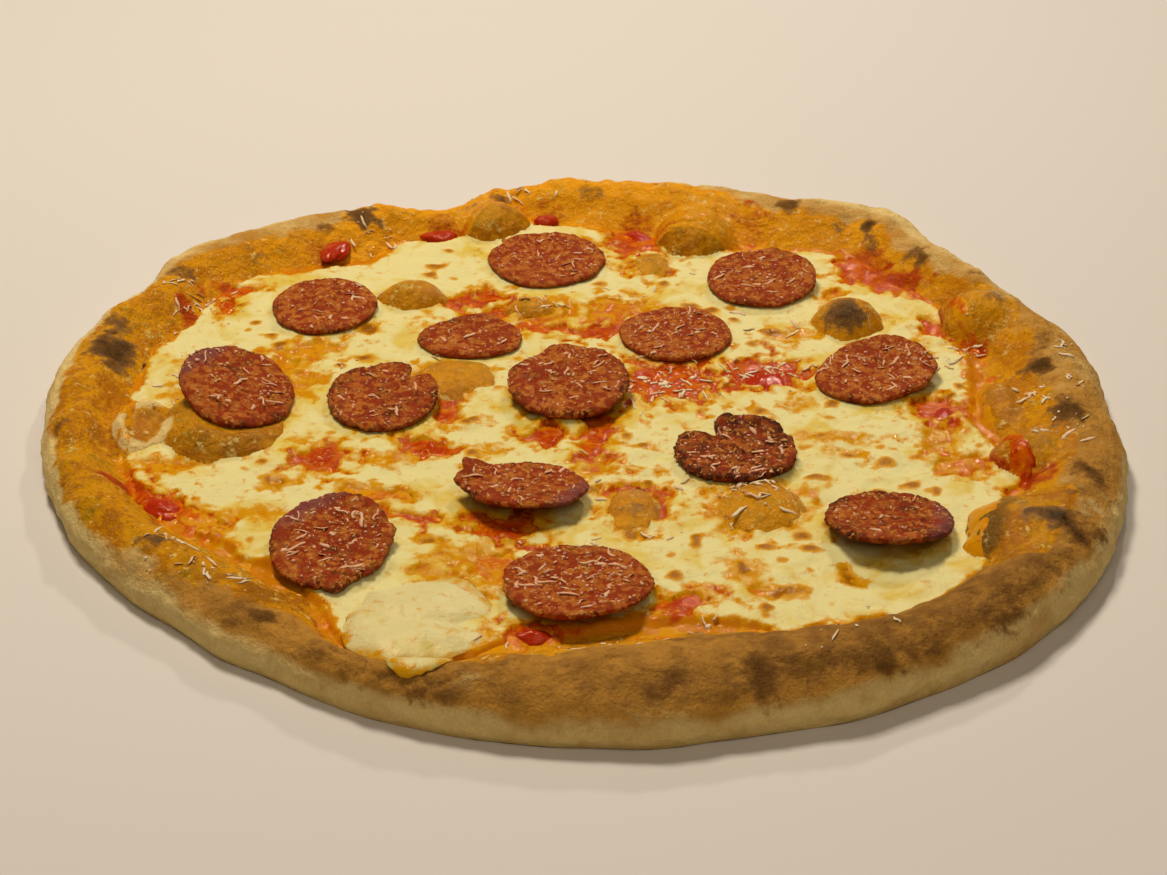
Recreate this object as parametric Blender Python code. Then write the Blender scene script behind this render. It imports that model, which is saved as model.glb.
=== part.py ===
"""Pepperoni pizza, about 340 mm across, as it comes from a wood-fired oven.

A hand-stretched crust with a puffed, uneven rim and dough blisters carries a film of tomato sauce,
a melted sheet of mozzarella with one clean piece, curled pepperoni slices, pieces of tomato, and
shreds of hard cheese that have stuck where they fell.

Sizes are millimetres and angles are degrees, counted anticlockwise from +X. Every finished mesh is
scaled to metres. +Z is up, the origin is on the flat underside and -Y is the front.
"""

import math
import random
from collections import namedtuple

import bmesh
import bpy
from mathutils import Matrix, Vector, noise

METRES = 0.001
GAP = 0.3  # clear space between two pieces that touch
SEAT_SIDE = 0.45  # sideways clearance round a topping sunk in what carries it
SLIVER = 0.02  # points closer than this become one
FLAT = 1.0  # faces that turn less than this become one
FOLD = 40.0  # edges sharper than this aren't shaded smooth
DRAW_SEED = 34

# Crust: outer radius, rim width and rim height all the way round, each a mean with swells on it.
# A swell is (middle angle, height, half-width angle).
SPOKES = 96
FLOOR = 4.0
OUTER_RADIUS = 165.0
OUTER_SWELLS = (
    (7, 3, 12),
    (27, -4, 14),
    (49, 11, 13),
    (76, -9, 18),
    (87, 3, 9),
    (100, -12, 34),
    (111, -14, 10),
    (122, -7, 12),
    (146, 7, 11),
    (170, 5, 20),
    (190, 1, 20),
    (234, -8, 46),
    (270, -1, 30),
    (325, 8, 50),
)
RIM_WIDTH = 34.0
RIM_WIDTH_SWELLS = (
    (2, 10, 16),
    (28, -9, 14),
    (60, 10, 26),
    (108, -15, 24),
    (130, 6, 12),
    (160, -5, 26),
    (197, -8, 30),
    (248, -17, 18),
    (281, 14, 34),
    (332, 8, 14),
    (352, 8, 10),
)
RIM_HEIGHT = 16.0
RIM_HEIGHT_SWELLS = (
    (49, -1.5, 20),
    (78, 2, 14),
    (108, -3, 16),
    (180, -1, 50),
    (235, -2, 40),
    (300, 3, 60),
)
# The rim's section from its foot outwards: (share of the rim's width, share of its height).
# The slope starts at the floor's top, and the wall ends under the rim, at the underside.
INNER_SLOPE = ((0.0, 0.0), (0.15, 0.14), (0.30, 0.45), (0.45, 0.80))
OUTER_WALL = (
    (0.60, 1.0),
    (0.76, 0.96),
    (0.90, 0.78),
    (0.98, 0.54),
    (1.0, 0.34),
    (0.985, 0.15),
    (0.955, 0.0),
)
RIM_TOP_POINTS = 3  # points of the wall that count as the rim's top, for what lies on it
RIM_LUMP = 1.4
RIM_LUMP_LENGTH = 20.0

# Dough blisters that stand up out of the floor and the rim's slope.
Blister = namedtuple("Blister", "x y across deep top")
BLISTER_SIDES = 12
BLISTER_RINGS = 8
BLISTER_SUNK = 1.5
BLISTER_UNEVEN = 0.16
BLISTER_DOWN = 0.35  # how far its middle lies below the floor's top, as a share of its vertical radius
BLISTERS = (
    Blister(-57, 69.5, 13.5, 10, 13.8),
    Blister(90.5, 52, 13.5, 12.5, 16.0),
    Blister(41.5, 116.5, 16.5, 17.5, 18.5),
    Blister(134, 51, 14.5, 16, 19.5),
    Blister(-32, 125, 15, 14, 16.5),
    Blister(-135, -14, 12, 17, 10.5),
    Blister(-109, -13, 20.5, 26, 17.0),
    Blister(-16, 62, 11, 7, 10.8),
    Blister(16, -61, 10, 14, 10.2),
    Blister(54, -60, 15.5, 15, 11.5),
    Blister(-39, 15.5, 16, 15, 11.0),
    Blister(25.5, 94, 8.5, 12, 10.0),
    Blister(129, -78, 19.5, 24, 17.5),
    Blister(138, -33, 14, 13, 15.5),
    Blister(0, 3, 14, 13, 11.8),
    Blister(91, -71, 13, 9, 10.6),
    Blister(-14, -51, 11, 8, 10.6),
    Blister(133, -4, 8, 18, 13.0),
)

# Tomato sauce: a film over the floor, with its edge just inside the rim's foot.
SAUCE_SPOKES = 72
SAUCE_EDGE = 1.0
SAUCE_THICKNESS = 1.0
WELL_SIDES = 9
WELL_SPARE = 0.14

# Mozzarella: a melted sheet on the sauce, thin at its wandering edge.
CHEESE_SPOKES = 64
CHEESE_TOP = 7.8
CHEESE_EDGE = 3.0
CHEESE_EDGE_WANDER = 3.0
CHEESE_WAVE = 0.7
CHEESE_WAVE_LENGTH = 26.0
# Rings of the sheet's top from its edge inwards: (share of the radius, share of the thickness).
CHEESE_RINGS = (
    (1.0, 0.55),
    (0.965, 0.85),
    (0.87, 1.0),
    (0.74, 1.0),
    (0.60, 1.0),
    (0.46, 1.0),
    (0.30, 1.0),
    (0.14, 1.0),
)

# Windows in the cheese where the sauce shows: (x, y, half-length, half-width, turn).
SAUCE_WINDOWS = (
    (11, 60, 10, 6, 10),
    (27, 8, 14, 11, 20),
    (60, 14, 12, 8, 0),
    (-38, 66, 9, 5, -15),
    (-21, -77, 12, 6, 0),
    (-108, -70, 17, 6, -38),
    (-43, -34, 5, 9, 20),
    (4, -21, 9, 5, 0),
    (105, 76, 15, 6, -30),
    (112, -7, 9, 9, 0),
    (-92, 27, 8, 11, -20),
    (33, -108, 11, 4, 20),
)
WINDOW_SIDES = 12
WINDOW_UNEVEN = 0.35
WINDOW_SPARE = 2.0

# The clean piece of mozzarella near the front.
PIECE_CENTRE = (-43.0, -116.0)
PIECE_HALF = (20.5, 20.5)
PIECE_TOP = 9.6
PIECE_UNEVEN = 0.22
PIECE_SPOKES = 24
# Rings of its side from the bottom up: (share of the outline, share of the thickness).
PIECE_RINGS = ((0.96, 0.0), (1.0, 0.35), (0.93, 0.8), (0.78, 1.0))

# Pepperoni slices: middle, half-sizes, turn, underside height at the middle, how far the edge leans
# up and towards which angle, swells of the outline as shares of the radius, and curls of the edge.
Slice = namedtuple("Slice", "x y across deep turn base lean towards outline curls shreds")
SLICE_THICKNESS = 2.0
SLICE_SIDES = 20
SLICE_CUP = 0.5
SLICE_UNEVEN = 0.05
SLICE_RING = 0.62  # share of the radius where a ring divides the slice
SEAT_TALL = 6.0  # a seat is cut this far up from a slice's underside
# Swells of the slice whose torn tip stands up, and of the one with a notch.
CURLED_TIP = ((158, 0.13, 14), (186, 0.12, 12), (136, -0.06, 12))
NOTCHED = ((122, -0.40, 16), (98, 0.08, 12), (146, 0.05, 12), (52, 0.15, 22), (22, 0.05, 14))
SLICES = (
    Slice(-11.3, 95.5, 20, 19, 0, 7.9, 0.3, 90, ((70, 0.05, 30),), (), 2),
    Slice(63, 78, 18.4, 17, 0, 9.6, 1.8, 80, ((75, 0.10, 14), (100, -0.08, 16)), ((30, 1.5, 60),), 2),
    Slice(-85.4, 59.5, 17, 17, 0, 8.6, 0.8, 60, (), ((140, 1.0, 60),), 1),
    Slice(-35.4, 38.5, 16.8, 12.2, 0, 7.8, 0.2, 90, ((70, 0.14, 24),), ((80, 1.4, 60),), 1),
    Slice(-106.6, -2, 17, 19.5, 0, 13.4, 5.4, 165, (), ((235, -2.0, 70),), 4),
    Slice(-61.4, -1.7, 17, 17.5, 0, 9.2, 1.5, 80, ((48, -0.26, 18),), ((20, 1.0, 60),), 3),
    Slice(32.3, 41, 18.2, 16.4, 0, 7.9, 0.2, 90, (), ((60, 1.0, 60),), 3),
    Slice(-3, 3.8, 18.9, 17.6, 0, 11.9, 2.4, 80, ((135, -0.08, 30),), ((280, -1.0, 70),), 4),
    Slice(95.5, 14.3, 20, 16, 30, 9.4, 1.7, 50, (), ((50, 1.5, 60),), 4),
    Slice(47.7, -33.9, 18.2, 15, 0, 8.8, 1.0, 80, NOTCHED, ((80, 2.5, 50),), 4),
    Slice(-15.6, -55.5, 18.6, 14.5, -10, 10.8, 2.6, 265, CURLED_TIP, ((160, 4.0, 36),), 2),
    Slice(-69.8, -82.5, 17, 19.8, 0, 9.6, 1.8, 80, ((10, 0.08, 14), (280, 0.10, 16)), ((60, 1.0, 60),), 3),
    Slice(0, -102.3, 20.5, 18.8, 0, 9.4, 1.4, 270, (), ((300, 1.0, 60),), 4),
    Slice(89.3, -72.7, 18, 16.8, 0, 10.4, 2.4, 265, (), ((270, 1.0, 70),), 2),
)

# Pieces of tomato: (x, y, half-length, half-width, turn, height of its top above what it lies on).
TOMATO_PIECES = (
    (-12, 131, 4.5, 3.5, 0, 2.2),
    (-86, 103, 8.5, 4.5, 75, 2.4),
    (114, -8, 7.5, 4.5, 65, 2.6),
    (60, 15, 9.5, 6.5, 10, 2.4),
    (21.5, 118.5, 6.5, 4.5, -50, 2.4),
    (-50, 117, 6.5, 5.0, 0, 2.6),
    (-122, -59, 8.0, 4.0, -38, 2.6),
    (-11.5, -121.5, 6.5, 3.0, 0, 2.4),
)
TOMATO_SUNK = 1.4
TOMATO_UNEVEN = 0.22

# Shreds of hard cheese.
SHRED_LENGTHS = (6.0, 12.0)
SHRED_WIDTH = 1.1
SHRED_HEIGHT = 1.0
SHRED_RAISED = 0.12
SHRED_BEND = 1.6
# A shred on a slice runs from a point near the edge past the middle: shares of the slice's radius.
SHRED_OUTER = (0.55, 0.72)
SHRED_MIDDLE = (0.38, 0.48)
SHRED_INNER = (0.12, 0.35)
SHRED_SWING = (25, 45)
SHRED_STRAY = 25
RIM_SHREDS = (
    (-137, 63),
    (-109, -101),
    (-98, -104),
    (-84, -104),
    (7, -153),
    (25, -140),
    (44, -131),
    (34, -125),
    (143, -3),
    (155, 21),
    (157, 2),
    (149, -25),
    (146, -62),
    (117, 107),
    (-128, -88),
    (-120, 80),
)
CHEESE_SHREDS = ((-78, 78), (108, 34), (34, -82), (75, -44), (-62, 32), (70, -92), (-78, -36), (10, 78))


def swell(swells, angle):
    """The sum of the swells at this angle."""
    total = 0.0
    for middle, height, half_width in swells:
        away = abs((angle - middle + 180) % 360 - 180)
        if away < half_width:
            total += height * math.cos(math.pi / 2 * away / half_width) ** 2
    return total


def spoke_angle(spoke, spokes):
    return 360 * spoke / spokes


def at_angle(angle, radius):
    turn = math.radians(angle)
    return radius * math.cos(turn), radius * math.sin(turn)


def outer_radius(angle):
    return OUTER_RADIUS + swell(OUTER_SWELLS, angle)


def foot_radius(angle):
    return outer_radius(angle) - RIM_WIDTH - swell(RIM_WIDTH_SWELLS, angle)


def rim_lump(angle):
    """A small unevenness of the rim that repeats nowhere."""
    x, y = at_angle(angle, OUTER_RADIUS / RIM_LUMP_LENGTH)
    return RIM_LUMP * noise.noise(Vector((x, y, 0.3)))


def rim_height(angle):
    return RIM_HEIGHT + swell(RIM_HEIGHT_SWELLS, angle) + rim_lump(angle)


def slope_height(angle, share):
    """Height of the rim's slope or wall top at this share of its width."""
    height = rim_height(angle)
    section = [(across, FLOOR + rise * (height - FLOOR)) for across, rise in INNER_SLOPE]
    section += [(across, rise * height) for across, rise in OUTER_WALL[:RIM_TOP_POINTS]]
    for (start, low), (end, high) in zip(section, section[1:]):
        if share <= end:
            return low + (high - low) * (share - start) / (end - start)
    return section[-1][1]


def crust_top(x, y):
    """Height of the crust's top at a point, blisters included."""
    angle = math.degrees(math.atan2(y, x)) % 360
    share = (math.hypot(x, y) - foot_radius(angle)) / (outer_radius(angle) - foot_radius(angle))
    height = slope_height(angle, share) if share > 0 else FLOOR
    for blister in BLISTERS:
        away = math.hypot((x - blister.x) / blister.across, (y - blister.y) / blister.deep)
        if away < 1:
            radius = (blister.top - FLOOR) / (1 - BLISTER_DOWN)
            inside = math.sqrt(1 - (1 - BLISTER_DOWN**2) * away**2)
            height = max(height, FLOOR + radius * (inside - BLISTER_DOWN))
    return height


def cheese_top(x, y):
    wave = noise.noise(Vector((x, y, 0)) / CHEESE_WAVE_LENGTH)
    return CHEESE_TOP + CHEESE_WAVE * wave


def stack(rings, spokes):
    """A closed body through a stack of rings, flat at both ends.

    Each ring is a function from a spoke's number to a point.
    """
    body = bmesh.new()
    number = body.verts.layers.int.new("spoke")
    circle = bmesh.ops.create_circle(body, cap_ends=True, segments=spokes, radius=1)
    for spoke, vert in enumerate(circle["verts"]):
        vert[number] = spoke
        vert.co = rings[0](spoke)
    edges = body.edges[:]
    for ring in rings[1:]:
        grown = bmesh.ops.extrude_edge_only(body, edges=edges)["geom"]
        edges = [part for part in grown if isinstance(part, bmesh.types.BMEdge)]
        for vert in {end for edge in edges for end in edge.verts}:
            vert.co = ring(vert[number])
    bmesh.ops.contextual_create(body, geom=edges)
    return body


def as_object(name, body):
    """An object with this body as its mesh, triangulated and facing out."""
    bmesh.ops.triangulate(body, faces=body.faces[:])
    bmesh.ops.recalc_face_normals(body, faces=body.faces[:])
    mesh = bpy.data.meshes.new(name)
    body.to_mesh(mesh)
    body.free()
    made = bpy.data.objects.new(name, mesh)
    bpy.context.scene.collection.objects.link(made)
    return made


def boolean(target, helpers, operation):
    """Joins the helper objects to the target or cuts them from it, and removes them."""
    if not helpers:
        return
    group = bpy.data.collections.new("helpers")
    bpy.context.scene.collection.children.link(group)
    for helper in helpers:
        group.objects.link(helper)
    modifier = target.modifiers.new(operation, "BOOLEAN")
    modifier.operation = operation
    modifier.operand_type = "COLLECTION"
    modifier.collection = group
    modifier.solver = "EXACT"
    graph = bpy.context.evaluated_depsgraph_get()
    result = bpy.data.meshes.new_from_object(target.evaluated_get(graph))
    target.modifiers.clear()
    target.data = result
    for helper in helpers:
        bpy.data.objects.remove(helper)
    bpy.data.collections.remove(group)


def tidy(target):
    """Merges the flat faces that cuts have split, and drops the scraps beside the largest body."""
    body = bmesh.new()
    body.from_mesh(target.data)
    bmesh.ops.remove_doubles(body, verts=body.verts[:], dist=SLIVER)
    bmesh.ops.dissolve_limit(body, angle_limit=math.radians(FLAT), verts=body.verts[:], edges=body.edges[:])
    bmesh.ops.triangulate(body, faces=body.faces[:])
    unseen = set(body.verts)
    islands = []
    while unseen:
        island = set()
        edge_of_search = [unseen.pop()]
        while edge_of_search:
            vert = edge_of_search.pop()
            island.add(vert)
            for edge in vert.link_edges:
                other = edge.other_vert(vert)
                if other in unseen:
                    unseen.remove(other)
                    edge_of_search.append(other)
        islands.append(island)
    islands.sort(key=len)
    scraps = [vert for island in islands[:-1] for vert in island]
    bmesh.ops.delete(body, geom=scraps, context="VERTS")
    body.to_mesh(target.data)
    body.free()


def make_crust_body():
    """The dough without its blisters: underside, wall, rim, slope and floor."""

    def ring(share, height_of):
        def point(spoke):
            angle = spoke_angle(spoke, SPOKES)
            foot = foot_radius(angle)
            radius = foot + share * (outer_radius(angle) + rim_lump(angle) - foot)
            x, y = at_angle(angle, radius)
            return Vector((x, y, height_of(angle)))

        return point

    def wall_height(rise):
        return lambda angle: rise * rim_height(angle)

    def inner_height(rise):
        return lambda angle: FLOOR + rise * (rim_height(angle) - FLOOR)

    rings = [ring(share, wall_height(rise)) for share, rise in reversed(OUTER_WALL)]
    rings += [ring(share, inner_height(rise)) for share, rise in reversed(INNER_SLOPE)]
    return as_object("crust", stack(rings, SPOKES))


def make_blister(blister, grown=0.0):
    """An uneven dome that starts a little under the floor's top."""
    body = bmesh.new()
    bmesh.ops.create_uvsphere(body, u_segments=BLISTER_SIDES, v_segments=BLISTER_RINGS, radius=1)
    wider = 1 / math.sqrt(1 - BLISTER_DOWN**2)
    radius = (blister.top - FLOOR) / (1 - BLISTER_DOWN)
    size = Vector((blister.across * wider + grown, blister.deep * wider + grown, radius + grown))
    middle = Vector((blister.x, blister.y, FLOOR - BLISTER_DOWN * radius))
    for vert in body.verts:
        uneven = noise.noise(vert.co * 1.1 + middle)
        vert.co = middle + vert.co * (1 + BLISTER_UNEVEN * (uneven - 0.3)) * size
    bottom = Vector((0, 0, FLOOR - BLISTER_SUNK))
    dome = body.verts[:] + body.edges[:] + body.faces[:]
    cut = bmesh.ops.bisect_plane(body, geom=dome, plane_co=bottom, plane_no=(0, 0, 1), clear_inner=True)
    rim = [part for part in cut["geom_cut"] if isinstance(part, bmesh.types.BMEdge)]
    bmesh.ops.contextual_create(body, geom=rim)
    return as_object("blister", body)


def slice_point(topping, share, angle, height, grown=0.0):
    """A point of a slice: share of its radius, angle on it and height above its underside."""
    notched = 1 + swell(topping.outline, angle)
    x, y = at_angle(angle, 1)
    ragged = noise.noise(Vector((x, y, 0)) * 2.2 + Vector((topping.x, topping.y, 0)))
    reach = share * (notched + SLICE_UNEVEN * ragged)
    x *= topping.across * reach + grown * share
    y *= topping.deep * reach + grown * share
    turned = Matrix.Rotation(math.radians(topping.turn), 2) @ Vector((x, y))
    lean_x, lean_y = at_angle(topping.towards, 1)
    leaned = topping.lean * (turned.x * lean_x + turned.y * lean_y) / topping.across
    curled = swell(topping.curls, angle) * share**3
    z = topping.base + leaned + curled + SLICE_CUP * share**2 + height
    return Vector((topping.x + turned.x, topping.y + turned.y, z))


def make_slice_body(name, topping, low, high, grown=0.0):
    """A slice between two heights over its underside."""
    body = bmesh.new()
    bmesh.ops.create_circle(body, cap_ends=True, cap_tris=True, segments=SLICE_SIDES, radius=1)
    spokes = [edge for edge in body.edges if not edge.is_boundary]
    bmesh.ops.subdivide_edges(body, edges=spokes, cuts=1)
    for vert in body.verts:
        share = vert.co.length
        if 0.1 < share < 0.9:
            vert.co *= SLICE_RING / share
    upper = bmesh.ops.extrude_face_region(body, geom=body.faces[:])["geom"]
    raised = {part for part in upper if isinstance(part, bmesh.types.BMVert)}
    for vert in body.verts:
        share = vert.co.xy.length
        angle = math.degrees(math.atan2(vert.co.y, vert.co.x)) % 360
        height = high if vert in raised else low
        vert.co = slice_point(topping, share, angle, height, grown)
    return as_object(name, body)


def make_shred(points, across):
    """A bent strip along three points, with its width along a level direction."""
    body = bmesh.new()
    bmesh.ops.create_cube(body, size=1)
    everything = body.verts[:] + body.edges[:] + body.faces[:]
    bmesh.ops.bisect_plane(body, geom=everything, plane_co=(0, 0, 0), plane_no=(1, 0, 0))
    for vert in body.verts:
        station = points[round(vert.co.x * 2) + 1]
        width = across * (vert.co.y * SHRED_WIDTH)
        vert.co = station + width + Vector((0, 0, vert.co.z * SHRED_HEIGHT + SHRED_RAISED))
    return as_object("shred", body)


def loose_shred(x, y, draw, surface):
    """A shred that lies on a surface given by its height at a point."""
    length = draw.uniform(*SHRED_LENGTHS)
    direction = draw.uniform(0, 180)
    bend = draw.uniform(-SHRED_BEND, SHRED_BEND)
    along = Vector((*at_angle(direction, 1), 0))
    across = Vector((-along.y, along.x, 0))
    points = []
    for step, sideways in ((-0.5, 0), (0, bend), (0.5, 0)):
        place = Vector((x, y, 0)) + along * step * length + across * sideways
        place.z = surface(place.x, place.y)
        points.append(place)
    return make_shred(points, across)


def slice_shred(topping, place, draw):
    """A shred on a slice, in its own sector of the slice."""
    angle = 360 * place / topping.shreds + draw.uniform(-SHRED_STRAY, SHRED_STRAY)
    swing = draw.choice((-1, 1)) * draw.uniform(*SHRED_SWING)
    start = slice_point(topping, draw.uniform(*SHRED_OUTER), angle, SLICE_THICKNESS)
    middle = slice_point(topping, draw.uniform(*SHRED_MIDDLE), angle + swing / 2, SLICE_THICKNESS)
    end = slice_point(topping, draw.uniform(*SHRED_INNER), angle + swing, SLICE_THICKNESS)
    along = Vector((end.x - start.x, end.y - start.y, 0)).normalized()
    return make_shred((start, middle, end), Vector((-along.y, along.x, 0)))


def tomato_ground(x, y):
    """What a piece of tomato lies on: the crust's slope, or the sauce and cheese on the floor."""
    return max(crust_top(x, y), FLOOR + GAP + SAUCE_THICKNESS)


def make_tomato(name, piece, grown=0.0):
    """An uneven lump, sunk a little in what carries it."""
    x, y, half_length, half_width, turn, top = piece
    body = bmesh.new()
    bmesh.ops.create_icosphere(body, subdivisions=1, radius=1)
    size = Vector((half_length + grown, half_width + grown, top + grown))
    middle = Vector((x, y, tomato_ground(x, y)))
    turned = Matrix.Rotation(math.radians(turn), 3, "Z")
    for vert in body.verts:
        uneven = 1 + TOMATO_UNEVEN * noise.noise(vert.co * 1.3 + middle)
        place = vert.co * uneven
        if place.z < 0:
            place.z *= (TOMATO_SUNK + grown) / size.z
        vert.co = middle + turned @ (place * size)
    return as_object(name, body)


def cutters_of_toppings():
    """The seats that the toppings press into what carries them."""
    seats = []
    for topping in SLICES:
        seats.append(make_slice_body("seat", topping, -GAP, SEAT_TALL, SEAT_SIDE))
    for piece in TOMATO_PIECES:
        seats.append(make_tomato("seat", piece, SEAT_SIDE))
    seats.append(make_piece_body("seat", SEAT_SIDE))
    return seats


def make_crust(draw):
    crust = make_crust_body()
    boolean(crust, [make_blister(blister) for blister in BLISTERS], "UNION")
    boolean(crust, cutters_of_toppings(), "DIFFERENCE")
    boolean(crust, [loose_shred(x, y, draw, crust_top) for x, y in RIM_SHREDS], "UNION")
    tidy(crust)
    return crust


def make_well(blister):
    """A cutter for the sauce round a blister's foot."""

    def ring(height):
        def point(spoke):
            side_x, side_y = at_angle(spoke_angle(spoke, WELL_SIDES), 1 + WELL_SPARE)
            x = blister.x + side_x * blister.across
            return Vector((x, blister.y + side_y * blister.deep, height))

        return point

    return as_object("well", stack([ring(FLOOR), ring(FLOOR + 2 * SAUCE_THICKNESS)], WELL_SIDES))


def make_sauce():
    low = FLOOR + GAP

    def ring(inset, height):
        def point(spoke):
            angle = spoke_angle(spoke, SAUCE_SPOKES)
            x, y = at_angle(angle, foot_radius(angle) - inset)
            return Vector((x, y, height))

        return point

    rings = [ring(SAUCE_EDGE, low), ring(SAUCE_EDGE, low + SAUCE_THICKNESS)]
    sauce = as_object("tomato_sauce", stack(rings, SAUCE_SPOKES))
    boolean(sauce, [make_well(blister) for blister in BLISTERS], "DIFFERENCE")
    boolean(sauce, cutters_of_toppings(), "DIFFERENCE")
    tidy(sauce)
    return sauce


def cheese_edge(angle):
    """Radius of the cheese's wandering edge."""
    x, y = at_angle(angle, 4.5)
    wander = noise.noise(Vector((x, y, 7.1)))
    return foot_radius(angle) - CHEESE_EDGE + CHEESE_EDGE_WANDER * (wander - 0.2)


def cheese_bottom():
    return FLOOR + GAP + SAUCE_THICKNESS + GAP


def make_window(window):
    """A cutter for a ragged window in the cheese."""
    x, y, half_length, half_width, turn = window
    turned = Matrix.Rotation(math.radians(turn), 2)

    def ring(height):
        def point(spoke):
            angle = spoke_angle(spoke, WINDOW_SIDES)
            ragged = 1 + WINDOW_UNEVEN * noise.noise(Vector((*at_angle(angle, 1.6), x + y)))
            side_x, side_y = at_angle(angle, ragged)
            place = turned @ Vector((half_length * side_x, half_width * side_y))
            return Vector((x + place.x, y + place.y, height))

        return point

    low = cheese_bottom() - WINDOW_SPARE
    return as_object("window", stack([ring(low), ring(CHEESE_TOP + WINDOW_SPARE)], WINDOW_SIDES))


def make_piece_body(name, grown=0.0):
    """The clean piece: a rounded slab with a soft, uneven outline."""

    def ring(share, height):
        def point(spoke):
            angle = spoke_angle(spoke, PIECE_SPOKES)
            ragged = share * (1 + PIECE_UNEVEN * noise.noise(Vector((*at_angle(angle, 1.3), 3.7))))
            side_x, side_y = at_angle(angle, ragged)
            x = PIECE_CENTRE[0] + side_x * (PIECE_HALF[0] + grown)
            y = PIECE_CENTRE[1] + side_y * (PIECE_HALF[1] + grown)
            return Vector((x, y, height))

        return point

    low = cheese_bottom() - grown
    thickness = PIECE_TOP + grown - low
    rings = [ring(share, low + rise * thickness) for share, rise in PIECE_RINGS]
    return as_object(name, stack(rings, PIECE_SPOKES))


def make_cheese(draw):
    low = cheese_bottom()

    def bottom(spoke):
        angle = spoke_angle(spoke, CHEESE_SPOKES)
        return Vector((*at_angle(angle, cheese_edge(angle)), low))

    def ring(share, thickness_share):
        def point(spoke):
            angle = spoke_angle(spoke, CHEESE_SPOKES)
            x, y = at_angle(angle, cheese_edge(angle) * share)
            return Vector((x, y, low + thickness_share * (cheese_top(x, y) - low)))

        return point

    rings = [bottom] + [ring(share, thickness) for share, thickness in CHEESE_RINGS]
    cheese = as_object("mozzarella", stack(rings, CHEESE_SPOKES))
    boolean(cheese, [make_window(window) for window in SAUCE_WINDOWS], "DIFFERENCE")
    boolean(cheese, [make_blister(blister, SEAT_SIDE) for blister in BLISTERS], "DIFFERENCE")
    boolean(cheese, cutters_of_toppings(), "DIFFERENCE")
    tidy(cheese)
    boolean(cheese, [loose_shred(x, y, draw, cheese_top) for x, y in CHEESE_SHREDS], "UNION")
    tidy(cheese)
    return cheese


def make_slices(draw):
    made = []
    for number, topping in enumerate(SLICES, start=1):
        body = make_slice_body(f"pepperoni_{number:02d}", topping, 0, SLICE_THICKNESS)
        shreds = [slice_shred(topping, place, draw) for place in range(topping.shreds)]
        boolean(body, shreds, "UNION")
        tidy(body)
        made.append(body)
    return made


def finish_material(name, colour, roughness):
    material = bpy.data.materials.new(name)
    material.use_nodes = True
    shader = material.node_tree.nodes["Principled BSDF"]
    shader.inputs["Base Color"].default_value = (*colour, 1)
    shader.inputs["Roughness"].default_value = roughness
    shader.inputs["Metallic"].default_value = 0.0
    return material


def finish(made, material):
    """Scales a finished mesh to metres, shades it smooth between its folds and gives it a material."""
    made.data.transform(Matrix.Scale(METRES, 4))
    made.data.materials.clear()
    made.data.materials.append(material)
    made.data.shade_smooth()
    made.data.set_sharp_from_angle(angle=math.radians(FOLD))


def main():
    for existing in list(bpy.data.objects):
        bpy.data.objects.remove(existing)
    draw = random.Random(DRAW_SEED)

    crust = make_crust(draw)
    sauce = make_sauce()
    cheese = make_cheese(draw)
    piece = make_piece_body("mozzarella_piece")
    slices = make_slices(draw)
    tomatoes = []
    for number, spot in enumerate(TOMATO_PIECES, start=1):
        tomatoes.append(make_tomato(f"tomato_{number:02d}", spot))

    finish(crust, finish_material("baked_dough", (0.55, 0.30, 0.10), 0.6))
    finish(sauce, finish_material("tomato_sauce", (0.55, 0.06, 0.015), 0.3))
    finish(cheese, finish_material("melted_mozzarella", (0.80, 0.66, 0.30), 0.35))
    finish(piece, finish_material("soft_mozzarella", (0.86, 0.80, 0.50), 0.35))
    pepperoni = finish_material("pepperoni", (0.30, 0.03, 0.012), 0.4)
    for made in slices:
        finish(made, pepperoni)
    tomato = finish_material("tomato", (0.62, 0.05, 0.015), 0.3)
    for made in tomatoes:
        finish(made, tomato)


main()
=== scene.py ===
"""Finish of the pepperoni pizza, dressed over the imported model.

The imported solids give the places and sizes. Each class below models one of the pizza's parts in full
and dresses it: the crust, its bubbles, the sauce, the melted mozzarella and its clean piece, the
pepperoni slices, the tomato and the grated cheese. Shapes are worked out in millimetres and degrees,
counted anticlockwise from +X, and every finished mesh is scaled to metres. -Y is the front.
"""

from __future__ import annotations

import logging
import math
from collections.abc import Callable, Sequence
from dataclasses import dataclass
from enum import Enum
from functools import cache

import bmesh
import bpy
import numpy as np
from mathutils import Matrix, Vector, noise


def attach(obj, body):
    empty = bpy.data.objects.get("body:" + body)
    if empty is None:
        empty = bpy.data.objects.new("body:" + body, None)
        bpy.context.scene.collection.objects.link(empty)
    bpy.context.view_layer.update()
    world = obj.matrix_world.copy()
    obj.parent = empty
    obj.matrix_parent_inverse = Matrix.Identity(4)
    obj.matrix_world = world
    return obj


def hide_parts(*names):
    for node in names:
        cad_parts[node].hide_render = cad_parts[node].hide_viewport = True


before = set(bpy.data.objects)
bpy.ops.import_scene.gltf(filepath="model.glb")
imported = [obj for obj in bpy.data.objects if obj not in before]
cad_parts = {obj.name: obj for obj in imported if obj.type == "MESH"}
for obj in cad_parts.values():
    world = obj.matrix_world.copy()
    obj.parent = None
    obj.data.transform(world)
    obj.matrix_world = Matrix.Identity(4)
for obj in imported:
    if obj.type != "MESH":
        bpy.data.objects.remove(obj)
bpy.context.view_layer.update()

LOG = logging.getLogger("pizza")
Marks = tuple[tuple[float, ...], ...]
Array = np.ndarray
Body = bmesh.types.BMesh
Rule = Callable[[Array, Array], Array]
Socket = bpy.types.NodeSocket

MM = 0.001
DEGREES = np.arange(361.0)
ROOT = "root"

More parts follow.
